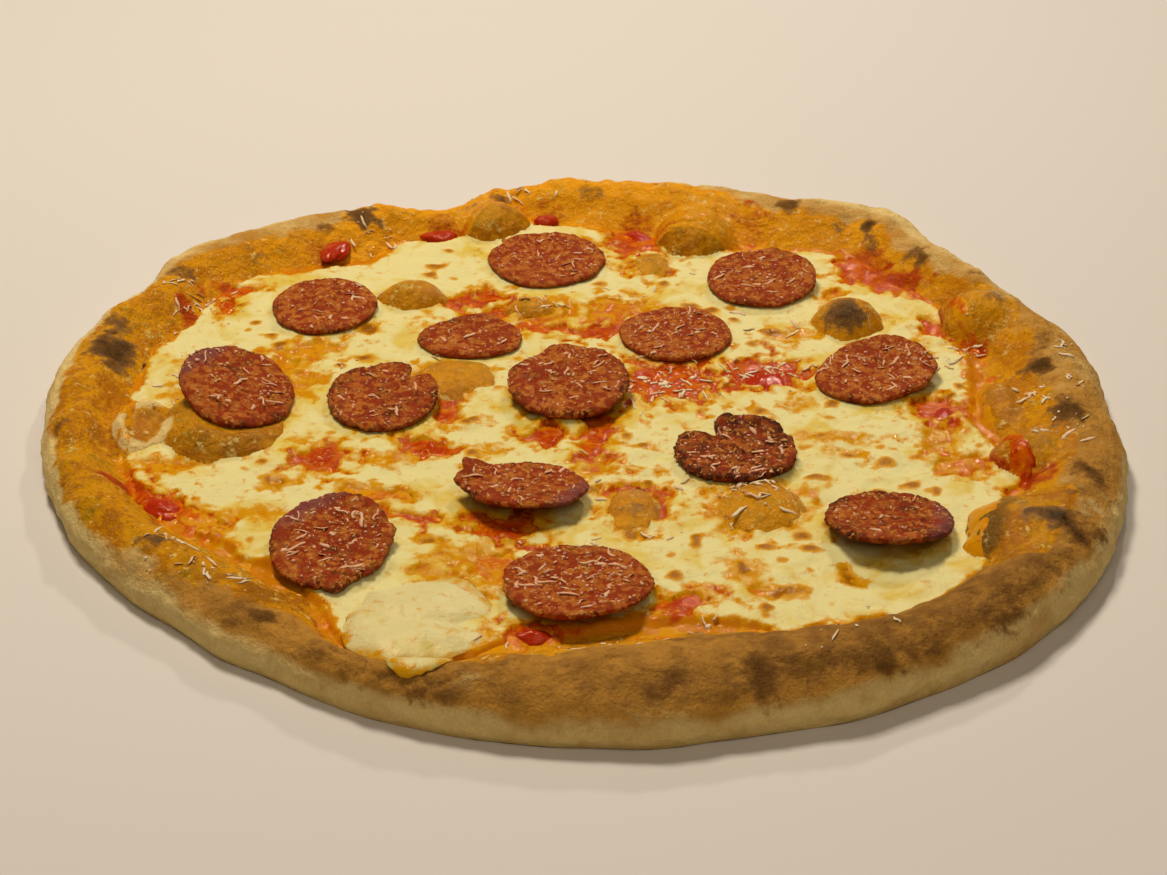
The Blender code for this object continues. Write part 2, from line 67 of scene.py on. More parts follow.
# Crust: the sizes of the solid it stands for. A swell is (middle angle, height, half-width in degrees).
FLOOR = 4.0
OUTER_RADIUS = 165.0
OUTER_SWELLS = (
    (7, 3, 12), (27, -4, 14), (49, 11, 13), (76, -9, 18), (87, 3, 9), (100, -12, 34), (111, -14, 10),
    (122, -7, 12), (146, 7, 11), (170, 5, 20), (190, 1, 20), (234, -8, 46), (270, -1, 30), (325, 8, 50),
)
RIM_WIDTH = 34.0
RIM_WIDTH_SWELLS = (
    (2, 10, 16), (28, -9, 14), (60, 10, 26), (108, -15, 24), (130, 6, 12), (160, -5, 26), (197, -8, 30),
    (248, -17, 18), (281, 14, 34), (332, 8, 14), (352, 8, 10),
)
RIM_HEIGHT = 16.0
RIM_HEIGHT_SWELLS = (
    (49, -1.5, 20), (78, 2, 14), (108, -3, 16), (180, -1, 50), (235, -2, 40), (300, 3, 60),
)
RIM_LUMP = 1.4
RIM_LUMP_LENGTH = 20.0
# Heights of the baked skin's lumps, dents and crumpled grain, and its small bubbles: how far apart
# they could lie, the share of those places that stays free, and their height.
SKIN_LUMP = 0.95
SKIN_DENT = 0.7
SKIN_GRAIN = 0.13
SMALL_BUBBLE = 7.0
SMALL_BUBBLE_FREE = 0.62
SMALL_BUBBLE_HEIGHT = 0.55
# The rim's section from its foot outwards and under: (share of the rim's width, share of the floor's
# height, share of the rim's height).
RIM_SECTION = (
    (0.0, 1.0, 0.0), (0.15, 0.86, 0.14), (0.30, 0.55, 0.45), (0.45, 0.20, 0.80), (0.60, 0.0, 1.0),
    (0.76, 0.0, 0.96), (0.90, 0.0, 0.78), (0.98, 0.0, 0.54), (1.0, 0.0, 0.34), (0.985, 0.0, 0.15),
    (0.955, 0.0, 0.0),
)

# Dough bubbles: (x, y, half-width, half-depth, top), those that grow out of the rim first.
BUBBLE_DOWN = 0.35  # how far a bubble's middle lies below the floor, as a share of its vertical radius
BUBBLE_UNEVEN = 0.10
BUBBLE_FILLET = 2.6
RIM_BUBBLES = (
    (41.5, 116.5, 16.5, 17.5, 18.5), (134, 51, 14.5, 16, 19.5), (-32, 125, 15, 14, 16.5),
    (-135, -14, 12, 17, 10.5), (-109, -13, 20.5, 26, 17.0), (129, -78, 19.5, 24, 17.5),
    (138, -33, 14, 13, 15.5), (133, -4, 8, 18, 13.0),
)
FLOOR_BUBBLES = (
    (-57, 69.5, 13.5, 10, 13.8), (90.5, 52, 13.5, 12.5, 16.0), (-16, 62, 11, 7, 10.8),
    (16, -61, 10, 14, 10.2), (54, -60, 15.5, 15, 11.5), (-39, 15.5, 16, 15, 11.0),
    (25.5, 94, 8.5, 12, 10.0), (0, 3, 14, 13, 11.8), (91, -71, 13, 9, 10.6), (-14, -51, 11, 8, 10.6),
)
BUBBLES = RIM_BUBBLES + FLOOR_BUBBLES
SWIRL = (-133.0, -16.0)  # the bubble that burst and folded into a ring
SWIRL_RADIUS = 7.6
SWIRL_DEPTH = 0.72  # how much the ring is drawn out from front to back
SWIRL_FOLD = 2.5
SWIRL_HEIGHT = 3.0
SWIRL_PIT = 0.35  # depth of the pit in its middle, as a share of its height

SAUCE_THICKNESS = 1.0
SAUCE_LEVEL = FLOOR + 0.3 + SAUCE_THICKNESS  # 0.3 for the unevenness of the floor
CHEESE_TOP = 7.8
# How far up the rim the cheese stays thick and pale: (angle, share of the rim's width).
CREAM_REACH = (
    (0, -0.02), (40, 0.0), (100, 0.0), (130, 0.03), (150, 0.10), (180, 0.06), (215, 0.03), (240, 0.0),
    (258, 0.02), (270, -0.06), (284, -0.04), (294, 0.16), (310, 0.24), (326, 0.20), (338, 0.06),
    (360, -0.02),
)
CREAM_WANDER = 0.09
CHEESE_WAVE = 0.7
CHEESE_WAVE_LENGTH = 26.0
PIECE_CENTRE = (-43.0, -116.0)
PIECE_HALF = (20.5, 20.5)
PIECE_TOP = 9.6
PIECE_CREASE = -119.0  # the depth at which a curved fold crosses the piece
TONGUE = (-41.0, -141.5)  # the part of the piece that ran up the rim
TONGUE_HALF = (8.5, 8.0)
PIECE_UNEVEN = 0.22
# Painted shade in the folds of the piece: (x, y, half-length, half-width, turn, strength).
PIECE_POCKETS = ((-41, -135.5, 4.5, 1.6, 10, 0.7), (-35, -122, 9, 1.6, 0, 0.35))

SLICE_THICKNESS = 2.0
SLICE_CUP = 0.5
SLICE_UNEVEN = 0.05
# How far each layer stays below the slices: the dough, the cheese and the sauce.
DOUGH_SPARE = 0.15
CHEESE_SPARE = 0.35
SAUCE_SPARE = 0.5
PRESS_RISE = 6.5  # how far a layer may rise again beyond a slice, in millimetres for each radius
PRESS_REACH = (1.48, 1.15)  # where a layer is free again and where it is fully pressed, in radii
TOUCH_SPARE = 0.25  # how near the cheese comes to a slice that it touches
TOUCH_GAP = 1.5  # the widest gap that it fills in full


@dataclass(frozen=True)
class SliceForm:
    """One pepperoni slice: its place, its form and what the oven and the grater did to it.

    The outline's swells are shares of the radius, the curls raise the edge, lean is how far the edge
    stands up towards an angle, and the sheen's angle is that of the side where a purple sheen is painted on
    as a reflection.
    """

    x: float
    y: float
    across: float
    deep: float
    turn: float
    base: float
    lean: float
    towards: float
    outline: Marks = ()
    curls: Marks = ()
    dark: float = 0.3
    painted_sheen: float | None = None
    grated: int = 8
    crumbs: int = 20


# Swells of the slice whose torn tip stands up, and of the one with a notch.
CURLED_TIP = ((158, 0.13, 14), (186, 0.12, 12), (136, -0.06, 12))
NOTCHED = ((122, -0.40, 16), (98, 0.08, 12), (146, 0.05, 12), (52, 0.15, 22), (22, 0.05, 14))
SLICES = (
    SliceForm(-11.3, 95.5, 20, 19, 0, 7.9, 0.3, 90, dark=0.1, grated=14, crumbs=120,
              outline=((70, 0.05, 30),)),
    SliceForm(63, 78, 18.4, 17, 0, 9.6, 1.8, 80, dark=0.35, grated=18, crumbs=130,
              outline=((75, 0.10, 14), (100, -0.08, 16)), curls=((30, 1.5, 60),)),
    SliceForm(-85.4, 59.5, 17, 17, 0, 8.6, 0.8, 60, dark=0.15, grated=9, crumbs=80,
              curls=((140, 1.0, 60),)),
    SliceForm(-35.4, 38.5, 16.8, 12.2, 0, 7.8, 0.2, 90, dark=0.2, grated=5, crumbs=60,
              outline=((70, 0.14, 24),), curls=((80, 1.4, 60),)),
    SliceForm(-106.6, -2, 17, 19.5, 0, 13.4, 5.4, 165, dark=0.35, painted_sheen=150, grated=26, crumbs=60,
              curls=((235, -2.0, 70),)),
    SliceForm(-61.4, -1.7, 17, 17.5, 0, 9.2, 1.5, 80, dark=0.6, grated=13, crumbs=90,
              outline=((48, -0.26, 18),), curls=((20, 1.0, 60),)),
    SliceForm(32.3, 41, 18.2, 16.4, 0, 7.9, 0.2, 90, dark=0.0, grated=20, crumbs=150,
              curls=((60, 1.0, 60),)),
    SliceForm(-3, 3.8, 18.9, 17.6, 0, 11.9, 2.4, 80, dark=0.5, grated=26, crumbs=90,
              outline=((135, -0.08, 30),), curls=((280, -1.0, 70),)),
    SliceForm(95.5, 14.3, 20, 16, 30, 9.4, 1.7, 50, dark=0.2, grated=26, crumbs=160,
              curls=((50, 1.5, 60),)),
    SliceForm(47.7, -33.9, 18.2, 15, 0, 8.8, 1.0, 80, dark=1.0, grated=24, crumbs=160,
              outline=NOTCHED, curls=((80, 2.5, 50),)),
    SliceForm(-15.6, -55.5, 18.6, 14.5, -10, 10.8, 2.6, 265, dark=0.4, painted_sheen=330, grated=12, crumbs=110,
              outline=CURLED_TIP, curls=((160, 4.0, 36),)),
    SliceForm(-69.8, -82.5, 17, 19.8, 0, 9.6, 1.8, 80, dark=0.55, painted_sheen=130, grated=28, crumbs=200,
              outline=((10, 0.08, 14), (280, 0.10, 16)), curls=((60, 1.0, 60),)),
    SliceForm(0, -102.3, 20.5, 18.8, 0, 9.4, 1.4, 270, dark=0.25, grated=38, crumbs=200,
              curls=((300, 1.0, 60),)),
    SliceForm(89.3, -72.7, 18, 16.8, 0, 10.4, 2.4, 265, dark=0.75, painted_sheen=350, grated=14, crumbs=60,
              curls=((270, 1.0, 70),)),
)

# Pieces of tomato: (x, y, half-length, half-width, turn, height of its top above what it lies on).
TOMATO_PIECES = (
    (-12, 131, 4.5, 3.5, 0, 2.2), (-86, 103, 8.5, 4.5, 75, 2.4), (114, -8, 7.5, 4.5, 65, 2.6),
    (60, 15, 9.5, 6.5, 10, 2.4), (21.5, 118.5, 6.5, 4.5, -50, 2.4), (-50, 117, 6.5, 5.0, 0, 2.6),
    (-122, -59, 8.0, 4.0, -38, 2.6), (-11.5, -121.5, 6.5, 3.0, 0, 2.4),
)
TOMATO_SUNK = 1.4

# Marks of the oven, the oil and the flour: (x, y, half-length, half-width, turn, strength).
CHAR_MARKS = (
    (-78, 118, 5, 5, 0, 0.8), (-136, 77, 5, 4, 0, 0.5), (-149, 25, 8, 8, -30, 1),
    (-144, 26, 5, 4, -30, 0.9), (76, 129, 5, 4.5, 0, 0.75), (94, 118, 3, 3, 0, 0.5),
    (104, 115, 3, 3.5, 0, 0.85), (104, 105, 2.5, 5, 0, 0.6), (117, 92, 3.5, 3, 0, 0.65),
    (120, 87, 2.5, 2.5, 0, 0.6), (136, 71, 4, 3, -40, 0.3), (147, 12, 4.5, 4.5, 0, 0.9),
    (149, -19, 4, 7, -20, 0.85), (151, -56, 4, 4, -40, 0.75), (147, -52, 3, 3, 0, 0.6),
    (135, -80, 6.5, 4.5, -10, 1), (140, -86, 4, 3, -30, 0.8), (128, -79, 4, 2.5, 20, 0.35),
    (120, -94, 4, 2.5, 0, 0.4), (104, -114, 3, 2.5, 0, 0.6), (91, -101, 7, 1.4, 25, 0.8),
    (35, -120, 7, 5, 0, 0.6), (47, -151, 4.5, 7, 0, 0.7), (79, -143, 5, 4, 0, 0.65),
    (66, -146, 3, 3, 0, 0.5), (59, -159, 6, 4, 30, 0.6), (22, -155, 7, 3, 30, 0.55),
    (-55, -152, 9, 4, -5, 0.5), (-42, -156, 9, 4, 0, 0.5), (-84, -122, 5, 2.5, -20, 0.7),
    (-70, -109, 4, 3, -40, 0.5), (-118, -88, 3.5, 3, 0, 0.7), (-90, 111, 2.5, 2.5, 0, 0.35),
    (-71, 117, 2, 2, 0, 0.35), (-29, 139, 4, 3, 0, 0.5), (86, -114, 4, 3, 0, 0.4),
    (76, -113, 3, 2, 0, 0.4), (117, -116, 6, 4, 0, 0.45), (94, -136, 8, 3, 35, 0.4),
    (113, -126, 8, 2.5, 35, 0.5), (133, -103, 6, 4, 0, 0.35), (148, -82, 3, 6, 0, 0.5),
    (140, 51, 4, 3, 40, 0.35), (149, 25, 4, 5, 0, 0.4), (5, 139, 5, 4, 0, 0.4), (20, 128, 4, 3, 0, 0.3),
    (-151, 41, 5, 4.5, 0, 0.55), (-60, 81, 9, 3.2, -8, 0.95), (-68, 76, 4, 3, 35, 0.7),
    (89, 47, 6.5, 5.5, 0, 0.9), (-15, 69, 6, 1.5, 0, 0.55), (16, -51, 4, 4, 0, 0.7),
    (17, -64, 4, 3.5, 0, 0.65), (25, 95, 3, 3, 0, 0.7), (-39, 129, 4, 3, 0, 0.3),
    (134, 60, 2.5, 2, 0, 0.55), (135, 48, 2, 2, 0, 0.3), (-116, -31, 5, 3, 0, 0.1),
    (-99, 104, 6, 3, 20, 0.25), (-114, 94, 5, 4, 0, 0.25), (60, -122, 6, 2.5, -10, 0.4),
    (0, -152, 4, 3, 0, 0.25), (-119, -103, 4, 2, 0, 0.2), (-94, -122, 6, 2, -20, 0.35),
    (157, -23, 3, 7, 0, 0.3), (143, -66, 4, 3, 0, 0.35), (111, -87, 6, 3, 20, 0.3),
)

STAIN_MARKS = (
    (-28, 150, 5, 4, 0, 0.4), (-12, 133, 7, 5, 0, 0.5), (-47, 120, 8, 6, 0, 0.6), (-86, 103, 9, 7, 0, 0.4),
    (-96, 96, 9, 8, 0, 0.35), (-75, 91, 8, 6, 0, 0.4), (-119, 79, 10, 4, 25, 0.9),
    (-117, 66, 4, 7, 0, 0.8), (20, 121, 8, 9, -20, 0.65), (20, 128, 5, 6, 0, 0.2),
    (62, 120, 10, 10, 0, 0.5), (99, 99, 9, 9, -30, 0.85), (109, 84, 12, 5, -35, 0.95),
    (122, 54, 5, 7, 30, 0.9), (130, 34, 6, 4, -20, 0.9), (132, -40, 11, 11, 0, 1),
    (-132, 58, 3, 6, 10, 0.9), (-126, 57, 5, 4, 0, 0.6), (-133, 6, 6, 5, 40, 0.7),
    (-129, -38, 9, 4, 0, 0.6), (-138, -48, 7, 3, -40, 0.95), (-126, -52, 11, 5, -38, 1),
    (-112, -65, 11, 7, -40, 0.75), (-102, -73, 6, 5, -40, 0.7), (-69, -103, 3, 8, 15, 0.5),
    (-11, -119, 7, 5, 0, 0.8), (31, -107, 7, 4, 20, 0.5), (73, -107, 12, 2.5, 20, 0.8),
    (93, -97, 12, 2.2, 30, 0.8), (-164, 35, 3, 4, 0, 0.5), (-149, -17, 5, 4, 0, 0.3),
    (39, 132, 14, 8, 0, 0.35), (131, 21, 7, 8, 0, 0.4), (-70, -120, 8, 7, 0, 0.35),
    (-57, -144, 12, 5, -10, 0.2), (-22, -149, 14, 6, 10, 0.1),
)

FLOUR_MARKS = (
    (118, 108, 3, 2, 0, 0.7), (155, 21, 3, 3, 0, 0.3), (48, 107, 4, 8, 0, 0.8), (49, 111, 3, 6, 0, 0.8),
    (47, 107, 4, 4, 0, 0.6), (-151, 56, 3, 3, 0, 0.6), (-143, 46, 4, 4, 0, 0.3), (133, 55, 5, 7, 0, 0.6),
    (132, 39, 3, 6, 0, 0.5), (142, 49, 4, 8, -20, 0.6), (132, -60, 7, 4, 0, 0.3), (-142, 42, 4, 3, 0, 0.7),
    (-139, 42, 10, 7, -40, 0.6), (-140, -18, 5, 10, 0, 0.75), (-130, -24, 8, 4, 20, 0.7),
    (-111, -25, 5, 6, -40, 0.45), (-70, 113, 8, 4, 0, 0.35), (-73, 105, 9, 4, 0, 0.5),
    (-59, 123, 10, 6, 0, 0.3), (147, -72, 8, 8, 0, 0.5), (140, -59, 6, 5, 0, 0.4),
    (-80, -145, 16, 7, -20, 0.6), (-109, -131, 16, 8, -32, 0.3), (-160, 8, 5, 26, 0, 0.8),
    (-159, -14, 4, 12, 8, 0.6), (-129, -111, 14, 8, -40, 0.15), (10, 138, 12, 4, 0, 0.3),
    (20, -161, 14, 6, 0, 0.3), (-27, -151, 6, 4, 0, 0.4),
)

# Where the cheese is thin or missing: (x, y, half-length, half-width, turn, share that is missing).
SAUCE_WINDOWS = (
    (-43, 68, 9, 4.5, -10, 1), (-30, 72, 6, 6, 30, 1), (-27, 60, 8, 5, 20, 0.9), (-14, 58, 10, 9, 0, 0.75),
    (-12, 49, 8, 4, 0, 0.9), (-87, 35, 10, 5, 15, 0.8), (-95, 23, 6, 9, 10, 0.7),
    (-88, 12, 6, 10, -20, 0.6), (-43, 15, 10, 8, 0, 0.8), (-41, -3, 4, 11, 0, 0.9),
    (-46, -26, 10, 4.5, -25, 1), (-78, -32, 9, 8, 0, 0.9), (-58, -32, 13, 4, 5, 0.55),
    (-118, 75, 9, 3, 25, 1), (-119, 64, 3, 7, 0, 1), (13, 62, 13, 8, 5, 0.85), (25, 94, 7, 8, 0, 0.9),
    (19, 112, 9, 9, -40, 1), (9, 48, 11, 5, 10, 0.95), (29, 14, 17, 14, 0, 0.95), (60, 19, 14, 9, 5, 1),
    (71, 44, 9, 5, 10, 0.6), (88, 73, 4, 3, 0, 0.8), (98, 92, 8, 9, 0, 1), (107, 79, 10, 5, -30, 1),
    (119, 48, 4, 7, 30, 0.9), (6, -16, 6, 15, 0, 0.95), (-10, -19, 7, 6, 0, 1), (5, -36, 6, 8, 0, 0.7),
    (17, -58, 9, 12, 0, 0.9), (53, -58, 13, 12, 0, 0.8), (79, -21, 11, 3.5, -12, 0.55),
    (82, -30, 7, 2.5, -15, 0.5), (116, -36, 9, 7, 0, 0.85), (112, -4, 8, 8, 0, 0.95),
    (30, -107, 8, 5, 20, 0.95), (53, -102, 7, 4, 10, 0.7), (47, -93, 5, 8, 0, 0.45),
    (76, -95, 3, 5, 20, 0.65), (-124, -37, 10, 5, 0, 0.7), (-90, -45, 5, 3.5, 10, 0.7),
    (-50, -52, 3, 3, 0, 0.6), (-41, -78, 3, 2.5, 0, 0.6), (-62, -52, 11, 4, -10, 0.8),
    (-93, -63, 8, 5, 0, 0.5), (-46, -66, 11, 3, -20, 0.9), (-22, -70, 11, 8, 0, 0.95),
    (-29, -86, 12, 6, 0, 0.6), (-38, -95, 7, 4.5, -20, 0.65), (-22, -94, 6, 9, 0, 0.85),
    (-19, -126, 9, 8, 0, 0.6), (-11, -119, 7, 4, 0, 1), (-5, 32, 5, 4, 0, 0.5), (24, -26, 4, 3, 0, 0.25),
    (70, 0, 5, 4, 0, 0.5), (56, -6, 4, 3, 0, 0.35), (92, -35, 4, 2, 10, 0.45), (-122, 12, 8, 14, 0, 0.5),
    (-30, -10, 4, 3, 0, 0.4), (-27, -28, 5, 4, 0, 0.45), (-50, 50, 5, 5, 0, 0.4), (-70, 48, 5, 3, 0, 0.5),
    (-70, 29, 4, 2.5, 0, 0.45), (-77, 22, 3, 2, 0, 0.4), (-16, 12, 4, 14, 0, 0.8), (46, -71, 4, 4, 0, 0.5),
    (110, 34, 6, 8, -30, 0.55), (111, -21, 6, 9, 0, 0.6), (86, 64, 5, 6, 0, 0.4),
    (-137, -46, 7, 3, -40, 1), (-124, -55, 11, 4.5, -38, 1), (-110, -66, 10, 5.5, -40, 0.85),
)

# Where oil lies dark and murky on the rim, partly as painted shade on the lobe's slope that faces left and in
# front of the raised slice on the left; then where the cheese is clean and pale. Both as (x, y, half-length,
# half-width, turn, strength).
MURKY_AND_SHADE_MARKS = (
    (116, -77, 6, 11, -10, 1), (121, -66, 8, 5, 30, 0.6), (-86, -111, 9, 5, -30, 0.5),
    (-104, -100, 10, 5, -40, 0.4), (24, 112, 4, 10, 0, 0.3), (-109, -30, 12, 5, 0, 0.3),
)
CLEAN_CHEESE = (
    (96, -17, 13, 7, 0, 1), (22, -24, 12, 9, 0, 0.8), (13, -43, 12, 9, 0, 0.8), (-98, -46, 12, 6, 0, 0.7),
    (-112, -51, 8, 5, 0, 0.6), (-56, 96, 16, 8, 0, 0.6), (66, 36, 14, 5, 0, 0.5), (109, -60, 8, 8, 0, 0.6),
    (34, -100, 14, 7, 0, 0.5), (-62, -52, 8, 5, 0, 0.4), (-45, -104, 12, 5, 0, 0.7),
    (-76, 20, 10, 8, 0, 0.4), (40, 88, 14, 5, 0, 0.6), (120, 20, 4, 10, 0, 0.6), (-20, -36, 8, 6, 0, 0.6),
)

# Blisters on the cheese that browned: (x, y, half-length, half-width).
CHEESE_SPOTS = (
    (-90, -45, 5, 3.5), (-50, -53, 2.2, 2.2), (-42, -78, 2.4, 2.2), (76, -95, 2.6, 4.5),
    (57, -102, 5.5, 3.5), (53, -81, 2.5, 2), (66, -82, 2.5, 1.8), (82, -31, 3.5, 2.5), (93, -35, 3.5, 2.5),
    (65, 46, 5, 3), (57, 37, 2, 2), (52, 54, 2, 1.6), (57, -5, 2.6, 2.2), (15, -21, 2, 2),
    (20, -26, 1.6, 1.6), (21, -46, 1.8, 1.5), (3, -51, 2.5, 1.5), (52, -111, 2, 2), (27, -95, 2.4, 2),
    (46, -91, 2.2, 4), (-50, 94, 3.5, 2), (-52, 87, 2.5, 2), (-46, 105, 2, 1.5), (-35, -12, 2.5, 1.8),
    (-32, -10, 2, 2), (-32, -30, 3, 2.5), (-98, 37, 3, 2.5), (-70, 48, 4, 2.5), (-70, 29, 3, 1.8),
    (-77, 23, 2.2, 1.8), (14, 109, 2, 1.5), (7, 80, 2.5, 1.5), (30, 80, 2, 2.5), (28, 87, 1.5, 2),
    (75, -20, 2.5, 1.4), (71, -44, 3, 2), (88, -53, 2, 2), (106, -51, 1.4, 2), (80, -1, 2, 2),
    (-65, -3, 2, 2), (99, -48, 3, 2), (-95, -36, 2, 1.5), (-115, 64, 2, 2), (-102, 44, 2.5, 2),
    (-108, 52, 2, 1.5), (64, -75, 3, 2), (15, -74, 2.5, 2.5), (72, -70, 1.5, 1.5), (34, -78, 1.4, 4),
    (44, -66, 3, 3), (118, 4, 2.5, 1.5), (122, 10, 2, 2), (38, 64, 4, 2), (45, 60, 3, 3),
)
SPOT_MARKS = tuple((*spot, 0, 1) for spot in CHEESE_SPOTS)
STRONG = 0.9  # a window that misses at least this share shows red sauce
STRONG_WINDOWS = tuple(window for window in SAUCE_WINDOWS if window[-1] >= STRONG)


class Relief:
    """Repeatable unevenness for many points at once, between about -1 and 1."""

    TABLE = 256

    def __init__(self, seed: int) -> None:
        """Draws the slopes of the lattice.

        Args:
            seed: Number that fixes the draw.
        """
        draw = np.random.default_rng(seed)
        self.order = draw.permutation(self.TABLE)
        angles = draw.uniform(0, 2 * math.pi, self.TABLE)
        self.slopes = np.stack([np.cos(angles), np.sin(angles)], axis=-1)
        self.jitter = draw.uniform(0.15, 0.85, (self.TABLE, 2))

    def _pick(self, cell: Array) -> Array:
        """Number of the table entry that belongs to each lattice cell."""
        return self.order[(self.order[cell[:, 0] % self.TABLE] + cell[:, 1]) % self.TABLE]

    def smooth(self, x: Array, y: Array, length: float, octaves: int = 1) -> Array:
        """Rolling unevenness.

        Args:
            x: Places in millimetres.
            y: Places in millimetres.
            length: Distance between neighbouring lumps.
            octaves: How many times it is added at half the length and half the height.

        Returns:
            One height for each place.
        """
        total = np.zeros(len(x))
        for octave in range(octaves):
            places = np.stack([x, y], axis=-1) * (2**octave / length) + 17.3 * octave
            cell = np.floor(places).astype(int)
            part = places - cell
            fade = part**3 * (part * (part * 6 - 15) + 10)
            for right in (0, 1):
                for up in (0, 1):
                    corner = np.array([right, up])
                    slope = self.slopes[self._pick(cell + corner)]
                    weight = np.abs(1 - corner - fade).prod(axis=-1)
                    total += ((part - corner) * slope).sum(axis=-1) * weight * 1.6 / 2**octave
        return total

    def cells(self, x: Array, y: Array, size: float) -> tuple[Array, Array]:
        """Grains that touch each other.

        Args:
            x: Places in millimetres.
            y: Places in millimetres.
            size: Distance between neighbouring grains.

        Returns:
            Distance to the nearest grain's middle as a share of size, and a random number per grain.
        """
        places = np.stack([x, y], axis=-1) / size
        cell = np.floor(places).astype(int)
        nearest = np.full(len(x), 9.0)
        number = np.zeros(len(x))
        for right in (-1, 0, 1):
            for up in (-1, 0, 1):
                other = cell + np.array([right, up])
                pick = self._pick(other)
                away = np.linalg.norm(other + self.jitter[pick] - places, axis=-1)
                closer = away < nearest
                nearest = np.where(closer, away, nearest)
                number = np.where(closer, pick / self.TABLE, number)
        return nearest, number


ROLL = Relief(11)
WARP = Relief(23)
GRAIN = Relief(37)


def ease(low: float, high: float, value: Array) -> Array:
    """Smooth step from 0 at low to 1 at high."""
    share = np.clip((value - low) / (high - low), 0, 1)
    return share * share * (3 - 2 * share)


def along(table: Marks, angle: Array) -> Array:
    """Value at each angle from a table of (angle, value)."""
    return np.interp(angle, *np.array(table).T)


def heading(angle: float | Array) -> tuple[Array, Array]:
    """Cosine and sine of an angle in degrees."""
    return np.cos(np.radians(angle)), np.sin(np.radians(angle))


def rotated(x: Array, y: Array, turn: float) -> tuple[Array, Array]:
    """Places turned about the origin by an angle in degrees."""
    cos, sin = heading(turn)
    return x * cos - y * sin, x * sin + y * cos


def walked(angles: Array, reach: float, level: float) -> Array:
    """Blender's own unevenness along a circle.

    Args:
        angles: Where to look on the circle, in degrees.
        reach: Radius of the circle, in lumps.
        level: Height of the circle's plane.

    Returns:
        One value for each angle.
    """
    cos, sin = heading(angles)
    places = np.stack([reach * cos, reach * sin, np.full_like(cos, level)], axis=-1)
    return np.array([noise.noise(Vector(place)) for place in places.tolist()])


def widened(marks: Marks, factor: float) -> Marks:
    """The same marks with their sizes times a factor."""
    return tuple((x, y, factor * length, factor * width, *rest) for x, y, length, width, *rest in marks)


def swell(swells: Marks, angle: Array) -> Array:
    """Sum of the swells at each angle, in degrees."""
    total = np.zeros_like(angle)
    for middle, height, half_width in swells:
        away = np.abs((angle - middle + 180) % 360 - 180)
        total += height * np.cos(np.pi / 2 * np.clip(away / half_width, 0, 1)) ** 2
    return total


def blend_up(first: Array, second: Array, soft: float) -> Array:
    """The higher of two surfaces, with a fillet where they cross."""
    close = np.clip(1 - np.abs(first - second) / soft, 0, 1)
    return np.maximum(first, second) + close * close * soft / 4


def marked(x: Array, y: Array, marks: Marks, ragged: float, soft: float = 0.5) -> Array:
    """How strongly a list of marks covers each place.

    Args:
        x: Places in millimetres.
        y: Places in millimetres.
        marks: Rows of (x, y, half-length, half-width, turn, strength).
        ragged: How uneven the marks' outlines are, as a share of their size.
        soft: Share of a mark's size over which it fades.

    Returns:
        The strength at each place, from 0 to 1.
    """
    clear = np.ones(len(x))
    least = 0.6  # a mark's outline grows by no more than this allows
    wobble = np.clip(1 + ragged * WARP.smooth(x, y, 6.0, 3), least, 2)
    for mark_x, mark_y, half_length, half_width, turn, strength in marks:
        reach = (1 + soft) / least * max(half_length, half_width)
        near = (np.abs(x - mark_x) < reach) & (np.abs(y - mark_y) < reach)
        side_x, side_y = rotated(x[near] - mark_x, y[near] - mark_y, -turn)
        away = np.hypot(side_x / half_length, side_y / half_width) * wobble[near]
        clear[near] *= 1 - strength * (1 - ease(1 - soft, 1 + soft, away))
    return 1 - clear


